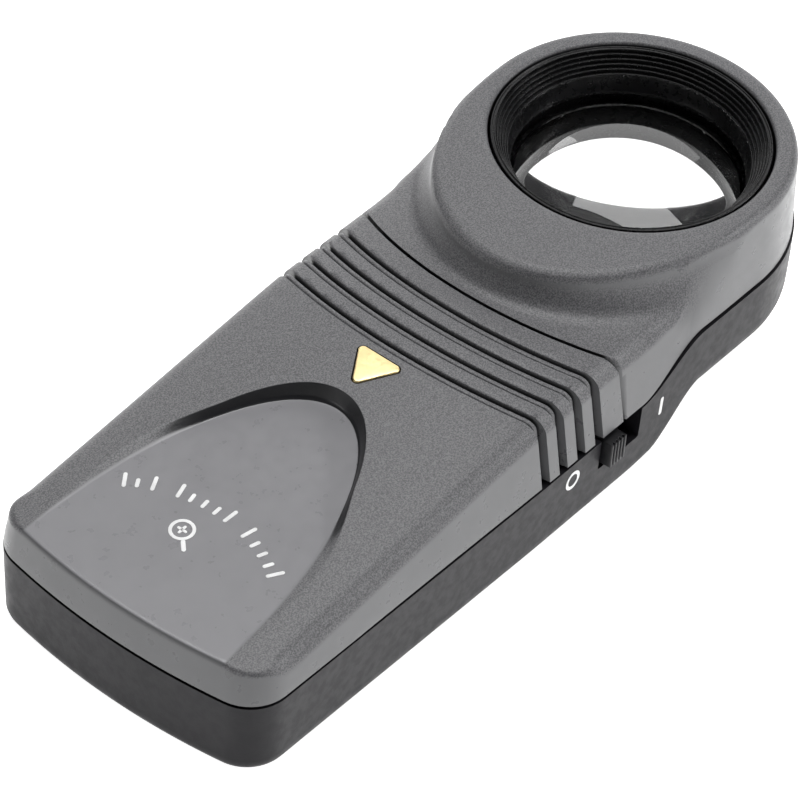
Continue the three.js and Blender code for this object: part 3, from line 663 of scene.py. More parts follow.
def build_covers(grey, insert_material):
    whole = upper_body("upper_body")
    inner = upper_body("upper_inner", SHELL_SKIN)
    combine(whole, above(parting_line(PARTING_GAP)), "INTERSECT")

    cover = copy_of(whole, "battery_cover_shell")
    combine(cover, block("behind", TOOL_X0, SEAM_X), "INTERSECT")
    cut(cover, disc("seam", SEAM_RADIUS + SEAM_GAP, SEAM_X))
    cut(cover, *[groove_tool(i) for i in range(RIB_COUNT)])
    cut(cover, arrow_block("arrow_pocket", 0.14, -1.1, 3.0))
    hollow = copy_of(inner, "cover_hollow")
    cut(hollow, cad_copy("battery_cover"), disc("seam_keep", SEAM_RADIUS - SEAM_GAP, SEAM_X))
    combine(hollow, block("hollow_side", TOOL_X0, SEAM_X - 5), "INTERSECT")
    cut(cover, hollow)
    finish_piece(cover, "cover", grey, ["battery_cover"], sharp=80)

    insert = arrow_block("gold_arrow", 0.0, -0.8, 0.11, bevel=0.16)
    finish_piece(insert, "cover", insert_material, ["arrow_insert"])

    head = whole
    head.name = "head_cover_shell"
    combine(head, ahead_of_seam("ahead", SEAM_RADIUS - SEAM_GAP), "INTERSECT")
    eye = [(0.0, 12.0), (EYE_RADIUS, 12.0), (EYE_RADIUS, 22.45), (EYE_RADIUS + 0.06, 22.62)]
    eye += [(EYE_RADIUS + 0.2, 22.74), (EYE_RADIUS + 0.42, 22.81), (EYE_RADIUS + 0.42, 30.0), (0.0, 30.0)]
    cut(head, lathe("eye", eye, segments=180))
    room = copy_of(inner, "head_hollow")
    cut(room, cad_copy("head_cover"))
    combine(room, ahead_of_seam("ahead_inner", SEAM_RADIUS + 0.5), "INTERSECT")
    cut(head, room)
    finish_piece(head, "housing", grey, ["head_cover"], sharp=80)
    drop(inner)


# ---------- lower housing ----------
def build_lower(dark):
    body = lower_body("lower_shell")
    inner = lower_body("lower_inner", SHELL_SKIN)
    combine(body, below(parting_line(-PARTING_GAP)), "INTERSECT")
    cut(inner, cad_copy("lower_housing"))
    cut(body, inner)
    # the lip, the rails and the bosses that stand above the parting come from the CAD shape
    raised = cad_copy("lower_housing")
    combine(raised, above(parting_line(-PARTING_GAP - 0.15)), "INTERSECT")
    cut(raised, outer_band())
    combine(body, raised, "UNION")
    corners = [(SLOT_X0, SLOT_Z), (SLOT_X1, SLOT_Z), (SLOT_X1, 12.0), (SLOT_X0, 12.0)]
    slot = prism_across("slot", rounded_profile(corners, 0.35), 20.0)
    slot.data.transform(Matrix.Translation((0, -36.0, 0)))
    cut(body, slot)
    for side in (1, -1):
        place = (SCREW_X, side * SCREW_Y, 0)
        sink = [(0.0, -1.0), (2.45, -1.0), (2.45, 0.0), (2.28, 0.12), (2.2, 0.3), (2.2, 2.4), (0.0, 2.4)]
        cut(body, lathe("counterbore", sink, place, segments=64))
        hole = [(0.0, -1.0), (1.35, -1.0), (1.35, 11.0), (0.0, 11.0)]
        cut(body, lathe("screw_hole", hole, place, segments=48))
    mouth = [(0.0, 2.0), (12.5, 2.0), (12.5, 4.35), (12.32, 4.5), (12.1, 4.66), (12.0, 4.9)]
    mouth += [(12.0, 8.0), (0.0, 8.0)]
    cut(body, lathe("aperture", mouth, segments=180))
    bore = [(0.0, -5.0), (2.85, -5.0), (2.85, 7.0), (0.0, 7.0)]
    cut(body, lathe("lamp_bore", bore, LAMP_TIP, LAMP_BACK, 64))
    finish_piece(body, "housing", dark, ["lower_housing"])


def outer_band():
    """Everything outside the housing's inner skin, as a cutter."""
    ring = extrude("band_out", outline(-6, -6), -3, 30)
    cut(ring, extrude("band_in", outline(1.6, 1.6), -5, 32))
    return ring


# ---------- materials ----------
class Surface:
    """One procedural material, with short ways to add and link its nodes."""

    def __init__(self, name, base, roughness):
        self.material = bpy.data.materials.new(name)
        self.material.use_nodes = True
        self.tree = self.material.node_tree
        self.shader = self.tree.nodes["Principled BSDF"]
        self.set("Base Color", (*base, 1))
        self.set("Roughness", roughness)
        self.coords = self.add("ShaderNodeTexCoord").outputs["Object"]

    def add(self, kind, **settings):
        node = self.tree.nodes.new(kind)
        for key, value in settings.items():
            setattr(node, key, value)
        return node

    def put(self, socket, value):
        if isinstance(value, bpy.types.NodeSocket):
            self.tree.links.new(value, socket)
        else:
            socket.default_value = value

    def set(self, name, value):
        """Gives one of the shader's inputs a constant or a node's output."""
        self.put(self.shader.inputs[name], value)

    def noise(self, scale, detail=3.0, roughness=0.55, vector=None):
        node = self.add("ShaderNodeTexNoise")
        self.put(node.inputs["Vector"], vector or self.coords)
        node.inputs["Scale"].default_value = scale
        node.inputs["Detail"].default_value = detail
        node.inputs["Roughness"].default_value = roughness
        return node.outputs["Fac"]

    def math(self, operation, a, b=0.0, c=0.0):
        node = self.add("ShaderNodeMath", operation=operation)
        for socket, value in zip(node.inputs, (a, b, c)):
            self.put(socket, value)
        return node.outputs[0]

    def times(self, a, b):
        return self.math("MULTIPLY", a, b)

    def minus(self, a, b):
        return self.math("SUBTRACT", a, b)

    def inverse(self, mask):
        return self.math("SUBTRACT", 1.0, mask)

    def ramp(self, value, low, high, to_low=0.0, to_high=1.0):
        node = self.add("ShaderNodeMapRange", interpolation_type="SMOOTHSTEP")
        self.put(node.inputs["Value"], value)
        for key, limit in (("From Min", low), ("From Max", high), ("To Min", to_low), ("To Max", to_high)):
            node.inputs[key].default_value = limit
        return node.outputs["Result"]

    def mix(self, factor, a, b):
        """Between two colours."""
        node = self.add("ShaderNodeMix", data_type="RGBA")
        self.put(node.inputs[0], factor)
        self.put(node.inputs[6], (*a, 1) if isinstance(a, tuple) else a)
        self.put(node.inputs[7], (*b, 1) if isinstance(b, tuple) else b)
        return node.outputs[2]

    def mottled(self, scale, a, b, spread=0.2, detail=3.0):
        """A colour that wanders between a and b over the surface."""
        return self.mix(self.ramp(self.noise(scale, detail), 0.5 - spread, 0.5 + spread), a, b)

    def uneven(self, scale, low, high):
        """A roughness that wanders between low and high over the surface."""
        return self.ramp(self.noise(scale), 0.3, 0.7, low, high)

    def split(self, vector):
        node = self.add("ShaderNodeSeparateXYZ")
        self.put(node.inputs[0], vector)
        return node.outputs

    def normal_z(self):
        return self.split(self.add("ShaderNodeNewGeometry").outputs["Normal"])[2]

    def bump(self, height, strength, distance, worn=None):
        """Relief of a height in metres; worn also rounds the edges in the shading, over that radius."""
        node = self.add("ShaderNodeBump")
        self.put(node.inputs["Height"], height)
        self.put(node.inputs["Strength"], strength)
        node.inputs["Distance"].default_value = distance
        if worn:
            edge = self.add("ShaderNodeBevel", samples=6)
            edge.inputs["Radius"].default_value = worn
            self.put(node.inputs["Normal"], edge.outputs["Normal"])
        self.set("Normal", node.outputs["Normal"])

    def crevice_shade_factor(self, reach):
        """1 on open surfaces, falling towards 0 in slits and corners narrower than reach; it scales the
        colour to paint shade there.
        """
        node = self.add("ShaderNodeAmbientOcclusion", samples=16)
        node.inputs["Distance"].default_value = reach
        return self.ramp(node.outputs["AO"], 0.35, 0.7)


def shade(colour, factor):
    return tuple(c * factor for c in colour)


def grey_plastic():
    """Moulded grey plastic: spark-textured on top, smoother on the side walls and in the thumb recess, with
    painted shade on the recess wall and in slits and corners.
    """
    net = Surface("moulded_grey", (0.12, 0.12, 0.125), 0.5)
    x, y, _ = net.split(net.coords)
    up = net.ramp(net.normal_z(), 0.80, 0.93)
    textured = net.ramp(net.normal_z(), 0.17, 0.36)

    # masks of the thumb recess: rho is 1 along the foot of its wall
    u = net.math("DIVIDE", net.math("MAXIMUM", net.minus(x, RECESS["x"] * MM), 0.0), RECESS["a"] * MM)
    v = net.math("DIVIDE", y, RECESS["b"] * MM)
    rho = net.math("SQRT", net.math("ADD", net.times(u, u), net.times(v, v)))
    outside = net.ramp(rho, 1.0, 1.03)
    near = net.math("LESS_THAN", x, (LENS_X - 44.5) * MM)
    # the wall mask picks out the recess wall towards the battery end, where painted shade goes
    beside = net.times(net.inverse(up), net.math("LESS_THAN", rho, 1.12))
    wall = net.times(net.times(beside, near), net.ramp(x, (LENS_X - 75) * MM, (LENS_X - 58) * MM))
    floor = net.times(net.times(up, near), net.inverse(outside))
    grain = net.times(textured, net.math("MAXIMUM", outside, net.inverse(near)))

    fine = net.noise(6500.0, 2.0, 0.6)
    coarse = net.noise(2600.0, 2.0, 0.5)
    top_colour = net.mix(net.ramp(fine, 0.36, 0.66), (0.066, 0.066, 0.070), (0.160, 0.159, 0.166))
    floor_colour = net.mottled(90.0, (0.205, 0.203, 0.214), (0.216, 0.214, 0.225), 0.15, 4.0)
    side_colour = net.mottled(90.0, (0.106, 0.107, 0.111), (0.116, 0.117, 0.121), 0.15, 4.0)
    colour = net.mix(floor, net.mix(grain, side_colour, top_colour), floor_colour)
    # painted shade: the recess wall is darkened almost to black, standing in for the shadow on it
    colour = net.mix(wall, colour, (0.018, 0.018, 0.02))
    # painted shade: ambient occlusion darkens slits, grooves, seams and corners almost to black
    net.set("Base Color", net.mix(net.crevice_shade_factor(0.7 * MM), (0.008, 0.008, 0.009), colour))
    rough = net.add("ShaderNodeMix", data_type="FLOAT")
    net.put(rough.inputs[0], grain)
    net.put(rough.inputs[2], net.uneven(700.0, 0.27, 0.36))
    rough.inputs[3].default_value = 0.45
    net.set("Roughness", rough.outputs[0])
    height = net.math("ADD", net.times(fine, 0.8), net.times(coarse, 0.8))
    net.bump(height, net.times(grain, 0.28), 0.00012)
    return net.material


def dark_plastic():
    """Charcoal moulded plastic with a soft, slightly uneven shine."""
    net = Surface("moulded_charcoal", (0.02, 0.02, 0.022), 0.4)
    net.set("Specular IOR Level", 0.16)
    net.set("Base Color", net.mottled(120.0, (0.010, 0.0095, 0.0115), (0.013, 0.012, 0.0145), detail=4.0))
    net.set("Roughness", net.uneven(900.0, 0.36, 0.47))
    net.bump(net.noise(4200.0, 2.0), 0.06, 0.0001)
    return net.material


def black_plastic(name="moulded_black", base=(0.008, 0.008, 0.009), roughness=0.34):
    net = Surface(name, base, roughness)
    net.set("Specular IOR Level", 0.28)
    net.set("Base Color", net.mottled(300.0, base, shade(base, 1.7), 0.15))
    net.set("Roughness", net.uneven(1500.0, roughness, roughness + 0.12))
    net.bump(net.noise(5000.0), 0.08, 0.00008, worn=0.00008)
    return net.material


def metal(name, base, roughness, scratch=0.12):
    """Metal with fine scratches and a slightly uneven polish."""
    net = Surface(name, base, roughness)
    net.set("Metallic", 1.0)
    marks = net.noise(2500.0, 4.0, 0.6)
    net.set("Base Color", net.mottled(400.0, shade(base, 0.78), base))
    net.set("Roughness", net.ramp(marks, 0.3, 0.7, roughness * 0.8, roughness * 1.35))
    net.bump(marks, scratch, 0.00006, worn=0.00008)
    return net.material


def clear_material(name, tint, ior):
    """Glass or clear resin with faint traces of handling in its gloss."""
    net = Surface(name, tint, 0.015)
    net.set("Transmission Weight", 1.0)
    net.set("IOR", ior)
    net.set("Specular IOR Level", 0.2)
    net.set("Roughness", net.ramp(net.noise(60.0), 0.4, 0.8, 0.005, 0.03))
    return net.material


def sleeve_material():
    """Printed film of a cell: green body, a metallic band at the positive end, no lettering."""
    net = Surface("cell_film", (0.03, 0.16, 0.09), 0.3)
    x, y, _ = net.split(net.coords)
    to_head = net.math("GREATER_THAN", y, 0.0)
    head_end = net.times(to_head, net.math("GREATER_THAN", x, (LENS_X - 40.0) * MM))
    tail_end = net.inverse(net.math("MAXIMUM", to_head, net.math("GREATER_THAN", x, (LENS_X - 64.5) * MM)))
    band = net.math("MAXIMUM", head_end, tail_end)
    film = net.mottled(250.0, (0.022, 0.13, 0.07), (0.035, 0.18, 0.10))
    net.set("Base Color", net.mix(band, film, (0.72, 0.52, 0.26)))
    net.set("Metallic", net.math("MULTIPLY_ADD", band, 0.8, 0.1))
    net.set("Roughness", net.uneven(1800.0, 0.24, 0.36))
    net.bump(net.noise(900.0), 0.06, 0.0001)
    return net.material


def board_material():
    """Green solder mask with tracks showing through as slightly raised, lighter lines."""
    net = Surface("solder_mask", (0.02, 0.12, 0.05), 0.3)
    cracks = net.add("ShaderNodeTexVoronoi", feature="DISTANCE_TO_EDGE")
    net.put(cracks.inputs["Vector"], net.coords)
    cracks.inputs["Scale"].default_value = 420.0
    tracks = net.ramp(cracks.outputs["Distance"], 0.03, 0.06, 1.0, 0.0)
    net.set("Base Color", net.mix(tracks, (0.012, 0.09, 0.035), (0.05, 0.22, 0.09)))
    net.set("Roughness", net.uneven(3000.0, 0.25, 0.4))
    net.bump(tracks, 0.3, 0.00005, worn=0.00008)
    return net.material


def resistor_material():
    """Beige lacquer with three colour bands."""
    net = Surface("resistor_lacquer", (0.6, 0.45, 0.28), 0.35)
    z = net.split(net.coords)[2]
    colour = net.mix(net.noise(700.0), (0.56, 0.42, 0.25), (0.66, 0.5, 0.31))
    for middle, paint in [(5.7, (0.35, 0.12, 0.03)), (6.4, (0.02, 0.02, 0.02)), (7.1, (0.3, 0.05, 0.02))]:
        band = net.math("LESS_THAN", net.math("ABSOLUTE", net.minus(z, middle * MM)), 0.00016)
        colour = net.mix(band, colour, paint)
    net.set("Base Color", colour)
    net.set("Roughness", net.uneven(1500.0, 0.3, 0.45))
    return net.material


def soft_plastic(name, base, roughness=0.4):
    """Wire insulation, print and small mouldings: one colour with slight mottling and a fine skin."""
    net = Surface(name, base, roughness)
    net.set("Base Color", net.mottled(500.0, shade(base, 0.82), base))
    net.set("Roughness", net.uneven(1300.0, roughness * 0.9, roughness * 1.2))
    net.bump(net.noise(4000.0), 0.05, 0.00005, worn=0.00006)
    return net.material


# ---------- optics ----------
def lens(node, glass_and_paint, plane_z, edge_z, sphere, block_z=None):
    """
    Lens that is flat at plane_z and bulges past edge_z, with its upright faces painted black.
    The thick upper one has a narrower block of glass under its rim, down to block_z.
    """
    radius = LENS_RADIUS
    up = 1 if edge_z > plane_z else -1
    drop_at_rim = math.sqrt(sphere ** 2 - radius ** 2)
    profile = [(0.0, plane_z)]
    if block_z is not None:
        profile = [(0.0, block_z), (11.25, block_z), (11.4, block_z + 0.15), (11.4, plane_z)]
    profile += [(radius - 0.2, plane_z), (radius, plane_z + 0.2 * up)]
    for k in range(33):
        r = radius * (1 - k / 32)
        profile.append((r, edge_z + up * (math.sqrt(sphere ** 2 - r * r) - drop_at_rim)))
    obj = lathe(node + "_glass", profile, segments=160)
    finish_piece(obj, "housing", glass_and_paint, [node], sharp=25)
    for face in obj.data.polygons:
        upright = abs(face.normal.z) < 0.3
        face.material_index = 1 if upright else 0


def barrel(black):
    """Black tube whose mouth steps outwards in fine anti-glare rings, each with a small round crest."""
    top = HEAD_TOP_Z - 0.25
    throat = 12.72
    steps = 6
    rise = 0.44
    tread = (14.5 - throat) / steps
    mouth = [(throat, top - rise * steps)]
    for i in range(steps):
        r = throat + i * tread
        z = top - rise * (steps - i - 1)
        mouth += [(r - 0.03, z - 0.12), (r - 0.04, z - 0.06), (r, z - 0.01), (r + 0.07, z)]
        mouth += [(r + 0.12, z - 0.05), (r + 0.14, z - 0.1), (r + tread - 0.02, z - 0.1)]
    profile = [(13.0, 6.25), (13.0, 18.0), (12.3, 18.0), (12.3, 18.35), (12.36, 18.45)]
    profile += mouth + [(14.5, top - 0.06), (14.56, top), (14.64, top), (14.7, top - 0.06)]
    profile += [(14.7, 16.5), (14.2, 16.5), (14.2, 6.25)]
    obj = lathe("stepped_barrel", profile, segments=160)
    finish_piece(obj, "housing", black, ["lens_barrel"], sharp=25)


def turned_rings(black):
    """Spacer between the lenses and the screwed ring under the lower lens, with its two key notches."""
    low = 11.6
    high = 15.3
    inner = 11.7
    grooves = 8
    spacer = [(inner, low), (12.7, low), (12.7, high), (inner, high)]
    for k in range(grooves):
        z = high - (k + 0.5) * (high - low) / grooves
        spacer += [(inner, z + 0.15), (inner + 0.16, z + 0.05), (inner + 0.16, z - 0.05), (inner, z - 0.15)]
    piece = lathe("lens_spacer_ridged", spacer)
    finish_piece(piece, "housing", black, ["lens_spacer"], sharp=25)
    profile = rounded_profile([(9.7, 6.9), (12.7, 6.9), (12.7, 8.9), (9.7, 8.9)], 0.15)
    ring = lathe("retaining_ring_notched", profile)
    for side in (1, -1):
        cut(ring, box("notch", LENS_X - 0.7, LENS_X + 0.7, side * 11.6 - 1.5, side * 11.6 + 1.5, 6.0, 7.6))
    finish_piece(ring, "housing", black, ["lens_retaining_ring"], sharp=25)


# ---------- switch ----------
def switch_parts(black):
    """The slider in the side wall, with five upright ribs, and the post behind it."""
    middle = LENS_X - 24.5
    half = 1.3
    back = -16.4
    valley = -18.62
    crest = -19.0
    ribs = 5
    pitch = 2 * half / ribs
    plan = [(middle + half, back), (middle - half, back)]
    for k in range(ribs):
        x = middle - half + pitch * (k + 0.5)
        for along, y in ((-0.34, valley), (-0.26, crest), (0.26, crest), (0.34, valley)):
            plan.append((x + along * pitch, y))
    plan = rounded_profile(plan, 0.1, 3)
    knob = extrude("ribbed_switch_knob", plan, 5.6, 8.7, bevel=0.07, bevel_low=True)
    finish_piece(knob, "switch_slider", black, ["switch_knob"])
    stem = box("switch_stem_post", middle - 0.7, middle + 0.7, -16.1, -13.6, 6.0, 7.9, 0.15)
    finish_piece(stem, "switch_slider", black, ["switch_stem"])


# ---------- fasteners, springs, wires, cells, lamp ----------
def screws(steel):
    for side, name in ((1, "housing_screw_left"), (-1, "housing_screw_right")):
        place = (SCREW_X, side * SCREW_Y, 0)
        profile = [(0.0, 0.62), (1.2, 0.6), (1.6, 0.64), (1.78, 0.74), (1.85, 0.92), (1.85, 1.5), (0.95, 2.1)]
        for k in range(13):
            z = 2.6 + 0.75 * k
            profile += [(0.82, z), (0.95, z + 0.22), (0.95, z + 0.34), (0.82, z + 0.56)]
        profile += [(0.8, 12.4), (0.45, 12.8), (0.0, 13.0)]
        screw = lathe("cross_" + name, profile, place, segments=48)
        for a, b in ((1.15, 0.25), (0.25, 1.15)):
            x, y = place[:2]
            corners = [(x - a, y - b), (x + a, y - b), (x + a, y + b), (x - a, y + b)]
            cut(screw, extrude("cross_cut", rounded_profile(corners, 0.08, 2), 0.0, 1.25))
        finish_piece(screw, "housing", steel, [name])


def smooth_path(points, steps=12):
    """Catmull-Rom curve through the points."""
    p = np.array(points, float)
    p = np.concatenate([[2 * p[0] - p[1]], p, [2 * p[-1] - p[-2]]])
    out = []
    for i in range(1, len(p) - 2):
        for k in range(steps):
            t = k / steps
            a = 2 * p[i] + (p[i + 1] - p[i - 1]) * t
            b = (2 * p[i - 1] - 5 * p[i] + 4 * p[i + 1] - p[i + 2]) * t ** 2
            c = (3 * p[i] - p[i - 1] - 3 * p[i + 1] + p[i + 2]) * t ** 3
            out.append((a + b + c) / 2)
    out.append(p[-2])
    return np.array(out)


def tube(name, path, radius, sides=16):
    """Round bar along a path, with softly closed ends."""
    path = np.asarray(path, float)
    along = np.gradient(path, axis=0)
    along /= np.linalg.norm(along, axis=1, keepdims=True)
    normal = np.cross(along[0], (0.0, 0.0, 1.0))
    if np.linalg.norm(normal) < 1e-3:
        normal = np.cross(along[0], (0.0, 1.0, 0.0))
    angles = np.linspace(0, 2 * math.pi, sides, endpoint=False)
    rings = []
    last = len(path) - 1
    for k, (at, t) in enumerate(zip(path, along)):
        normal = normal - t * normal.dot(t)
        normal /= np.linalg.norm(normal)
        side = np.cross(t, normal)
        reach = radius * (0.75 if k in (0, last) else 1.0)
        rings.append([at + (normal * math.cos(a) + side * math.sin(a)) * reach for a in angles])
    return loft(name, rings)


SWITCH_X0 = SLOT_X0 + 0.1
WIRES = {
    "wire_positive": [
        (BULKHEAD_X - 0.05, CELL_Y, 8.2), (BULKHEAD_X + 1.4, CELL_Y, 8.2), (BOARD_X0 - 0.35, CELL_Y, 8.6),
    ],
    "wire_negative": [
        (BULKHEAD_X - 0.05, -CELL_Y, 8.2), (BULKHEAD_X + 1.5, -CELL_Y, 8.2), (SWITCH_X0 + 0.9, -7.2, 8.3),
        (SWITCH_X0 + 0.9, -9.3, 8.3), (SWITCH_X0 + 0.9, -10.2, 7.65),
    ],
    "wire_switch": [
        (SWITCH_X0 + 4.9, -10.4, 7.65), (LENS_X - 21.6, -10.2, 9.4), (LENS_X - 21.9, -8.6, 10.6),
        (LENS_X - 22.2, -6.4, 10.8), (BOARD_X1 + 0.35, -5.6, 10.4),
    ],
}


def wires(red, black):
    for name, points in WIRES.items():
        piece = tube("insulated_" + name, smooth_path(points), 0.45)
        red_one = name == "wire_positive"
        finish_piece(piece, "housing", red if red_one else black, [name])


def springs(steel):
    """The two conical coils at the cells' negative ends."""
    for name, y, x0, x1 in (
        ("negative_spring", -CELL_Y, LENS_X - 28.85, LENS_X - 30.85),
        ("bridge_spring", CELL_Y, LENS_X - 75.95, LENS_X - 73.65),
    ):
        t = np.linspace(0, 1, 121)
        turns = 2.5
        angle = 2 * math.pi * turns * t
        r = 3.0 - 1.1 * t
        path = np.stack([x0 + (x1 - x0) * t, y + r * np.cos(angle), CELL_Z + r * np.sin(angle)], 1)
        finish_piece(tube("cone_" + name, path, 0.28), "housing", steel, [name])


def cells(film, tin):
    """Two AAA cells side by side, pointing opposite ways, each with its raised positive cap."""
    for name, y, start, towards in (
        ("battery_left", CELL_Y, LENS_X - 73.0, 1),
        ("battery_right", -CELL_Y, LENS_X - 75.2, -1),
    ):
        crimp = [(1.0, 0.12), (0.75, 0.02), (0.5, 0.0), (0.2, 0.06), (0.04, 0.25), (0.0, 0.5)]
        profile = [(0.0, 0.12)] + [(CELL_RADIUS - inset, x) for inset, x in crimp]
        profile += [(CELL_RADIUS - inset, CELL_LENGTH - x) for inset, x in crimp[::-1]]
        profile.append((0.0, CELL_LENGTH - 0.12))
        body = lathe(name + "_sleeve", profile, (start, y, CELL_Z), (1, 0, 0), 96)
        finish_piece(body, "housing", film, [name])
        nub_x = start + CELL_LENGTH + 0.3 if towards > 0 else start - 0.3
        nub = [(0.0, 0.0), (1.9, 0.0), (1.9, 0.55), (1.86, 0.68), (1.76, 0.77), (1.6, 0.8), (0.0, 0.8)]
        cap = lathe(name + "_cap", nub, (nub_x, y, CELL_Z), (towards, 0, 0), 64)
        finish_piece(cap, "housing", tin, [name + "_terminal"])


def lamp(epoxy, tin):
    """Clear round-nosed lamp; the reflector cup cast inside it is a piece of its own."""
    r = 2.5
    profile = [(r * math.sin(a), r - r * math.cos(a)) for a in np.linspace(0, math.pi / 2, 20)]
    profile += [(r, 6.0), (2.85, 6.05), (2.85, 6.9), (2.78, 7.0), (0.0, 7.0)]
    body = lathe("clear_lamp", profile, LAMP_TIP, LAMP_BACK, 96)
    cup = [(0.0, 3.1), (0.35, 3.1), (0.75, 2.6), (0.85, 2.6), (0.8, 3.4), (0.3, 3.6), (0.3, 6.9), (0.0, 6.9)]
    cut(body, lathe("cup_room", cup, LAMP_TIP, LAMP_BACK, 48))
    finish_piece(body, "housing", epoxy, ["lamp"])
    inner = [(0.0, 3.14), (0.33, 3.14), (0.74, 2.64), (0.81, 2.64), (0.77, 3.38), (0.27, 3.58), (0.27, 6.86)]
    metal_cup = lathe("lamp_reflector_cup", inner + [(0.0, 6.86)], LAMP_TIP, LAMP_BACK, 48)
    finish_piece(metal_cup, "housing", tin)


def resistor(lacquer):
    profile = [(0.0, 0.0), (0.3, 0.0), (0.3, 0.95), (0.6, 1.02), (0.82, 1.2), (0.88, 1.5), (0.86, 1.8)]
    profile += [(0.78, 2.0), (0.76, 2.8), (0.78, 3.6), (0.86, 3.8), (0.88, 4.1), (0.82, 4.4), (0.6, 4.56)]
    profile.append((0.3, 4.62))
    profile += [(0.3, 5.6), (0.0, 5.6)]
    piece = lathe("banded_resistor", profile, (BOARD_X1 + 1.3, 6.3, 4.0), segments=48)
    finish_piece(piece, "housing", lacquer, ["resistor"])


# ---------- printed marks ----------
def joined(name, parts):
    verts = []
    faces = []
    for part in parts:
        start = len(verts)
        verts += [tuple(v.co) for v in part.data.vertices]
        faces += [tuple(start + i for i in f.vertices) for f in part.data.polygons]
        drop(part)
    return object_from(name, verts, faces)


def ring_mark(radius, width, x, y, stretch=1.0):
    """A flat ring about (x, y)."""
    outer = circle(radius, 72) * [stretch, 1] + [x, y]
    inner = circle(radius - width, 72) * [stretch, 1] + [x, y]
    mark = extrude("mark", outer, 0.0, PRINT_THICKNESS)
    cut(mark, extrude("mark_hole", inner, -1.0, 1.0))
    return mark


def bar_mark(x, y, length, width, turn):
    """A flat bar with rounded ends, centred at (x, y) and turned about Z."""
    half = max(length / 2 - width / 2, 0)
    turns = np.linspace(-math.pi / 2, math.pi / 2, 9)
    ends = [(half + width / 2 * math.cos(a), width / 2 * math.sin(a)) for a in turns]
    ends += [(-px, -py) for px, py in ends]
    c = math.cos(turn)
    s = math.sin(turn)
    plan = [(x + c * px - s * py, y + s * px + c * py) for px, py in ends]
    return extrude("mark", plan, 0.0, PRINT_THICKNESS)


def recess_marks(white):
    """An arc of strokes in groups and a small magnifier sign on the floor of the thumb recess."""
    parts = []
    centre_x = LENS_X - 81
    radius = 17.0
    pitch = 1.72 / radius
    angle = 10.4 / radius
    for group in (3, 5, 5):
        for k in range(group):
            length = 1.9 if k in (0, group - 1) else 1.2
            x = centre_x + (radius + length / 2 - 0.95) * math.cos(angle)
            parts.append(bar_mark(x, radius * math.sin(angle), length, 0.42, angle))
            angle -= pitch * 0.86
        angle -= pitch * 0.75
    x = LENS_X - 68.3
    parts.append(ring_mark(1.35, 0.36, x, 1.2))
    parts.append(bar_mark(x, 1.2, 1.2, 0.3, 0.0))
    parts.append(bar_mark(x, 1.2, 1.2, 0.3, math.pi / 2))
    parts.append(bar_mark(x - 1.45, -0.25, 1.5, 0.46, math.pi / 4))
    marks = joined("recess_print", parts)
    for v in marks.data.vertices:
        v.co.z += float(recess_floor(v.co.x)) + PRINT_LIFT
    finish_piece(marks, "cover", white)


def side_marks(white):
    """The usual ring for off and bar for on, beside the switch on the -Y wall."""
    ring = ring_mark(1.2, 0.42, LENS_X - 30.6, 6.75, 0.92)
    bar = bar_mark(LENS_X - 16.0, 6.9, 2.5, 0.5, math.pi / 2)
    marks = joined("switch_print", [ring, bar])
    for v in marks.data.vertices:
        x, z, lift = v.co
        v.co = (x, -(side_half_width(x) - LOWER_LEAN * max(PARTING_Z - z, 0) + PRINT_LIFT + lift), z)
    finish_piece(marks, "housing", white)


# ---------- stage ----------
FLOOR_GLOW = 1.0


def build_stage():
    """A pale glowing table top, as under a product on a light table."""
    floor = object_from("floor", [(-3, -3, 0), (3, -3, 0), (3, 3, 0), (-3, 3, 0)], [(0, 1, 2, 3)])
    floor.location.z = -0.05 * MM  # just clear of the underside
    net = Surface("pale_floor", (0.8, 0.8, 0.8), 0.8)
    net.set("Base Color", net.mix(net.noise(40.0), (0.8, 0.8, 0.8), (0.82, 0.82, 0.82)))
    net.set("Emission Color", (1, 1, 1, 1))
    net.set("Emission Strength", FLOOR_GLOW)
    floor.data.materials.append(net.material)


BODY_MIDDLE = (17.0, 0.0, 12.0)


def soft_box(name, direction, distance, size, radiance):
    """A rectangular light panel that faces the object."""
    data = bpy.data.lights.new(name, "AREA")
    data.shape = "RECTANGLE"
    data.size = size[0]
    data.size_y = size[1]
    data.energy = radiance * math.pi * size[0] * size[1]
    obj = link(bpy.data.objects.new(name, data))
    aim = Vector(direction).normalized()
    obj.location = Vector(BODY_MIDDLE) * MM + aim * distance
    obj.rotation_euler = (-aim).to_track_quat("-Z", "Y").to_euler()
    obj.visible_transmission = False  # no second image of the panel from inside the lenses


# Each panel's direction from the body, its distance, its width and height, and its radiance.
PANELS = {
    "soft_box_back": ((0.75, 0.55, 0.40), 1.0, (1.0, 0.78), 1.5),
    "soft_box_overhead": ((0.17, 0.02, 0.98), 1.0, (1.05, 0.46), 6.4),
    "soft_box_far_side": ((0.50, 0.815, 0.28), 1.0, (0.19, 0.39), 3.5),
    "soft_box_right": ((0.6, -0.68, 0.42), 0.9, (0.45, 0.09), 23.0),
    "soft_box_end": ((-0.86, 0.42, 0.22), 0.9, (0.5, 0.07), 6.0),
}


def build_light():
    for name, (direction, distance, size, radiance) in PANELS.items():
        soft_box(name, direction, distance, size, radiance)
    world = bpy.data.worlds.new("studio")
    world.use_nodes = True
    background = world.node_tree.nodes["Background"]
    background.inputs["Color"].default_value = (0.95, 0.97, 1.0, 1)
    background.inputs["Strength"].default_value = 0.03
    bpy.context.scene.world = world
    bpy.context.scene.view_settings.view_transform = "Standard"
    bpy.context.scene.cycles.use_denoising = True


# The camera, in millimetres and degrees: where it looks along the floor, how far down, and its roll.
CAMERA_PLACE = (-261.32, -202.19, 333.78)
CAMERA_HEADING = 36.5415
CAMERA_DOWN = 43.6126
CAMERA_ROLL = 4.6057


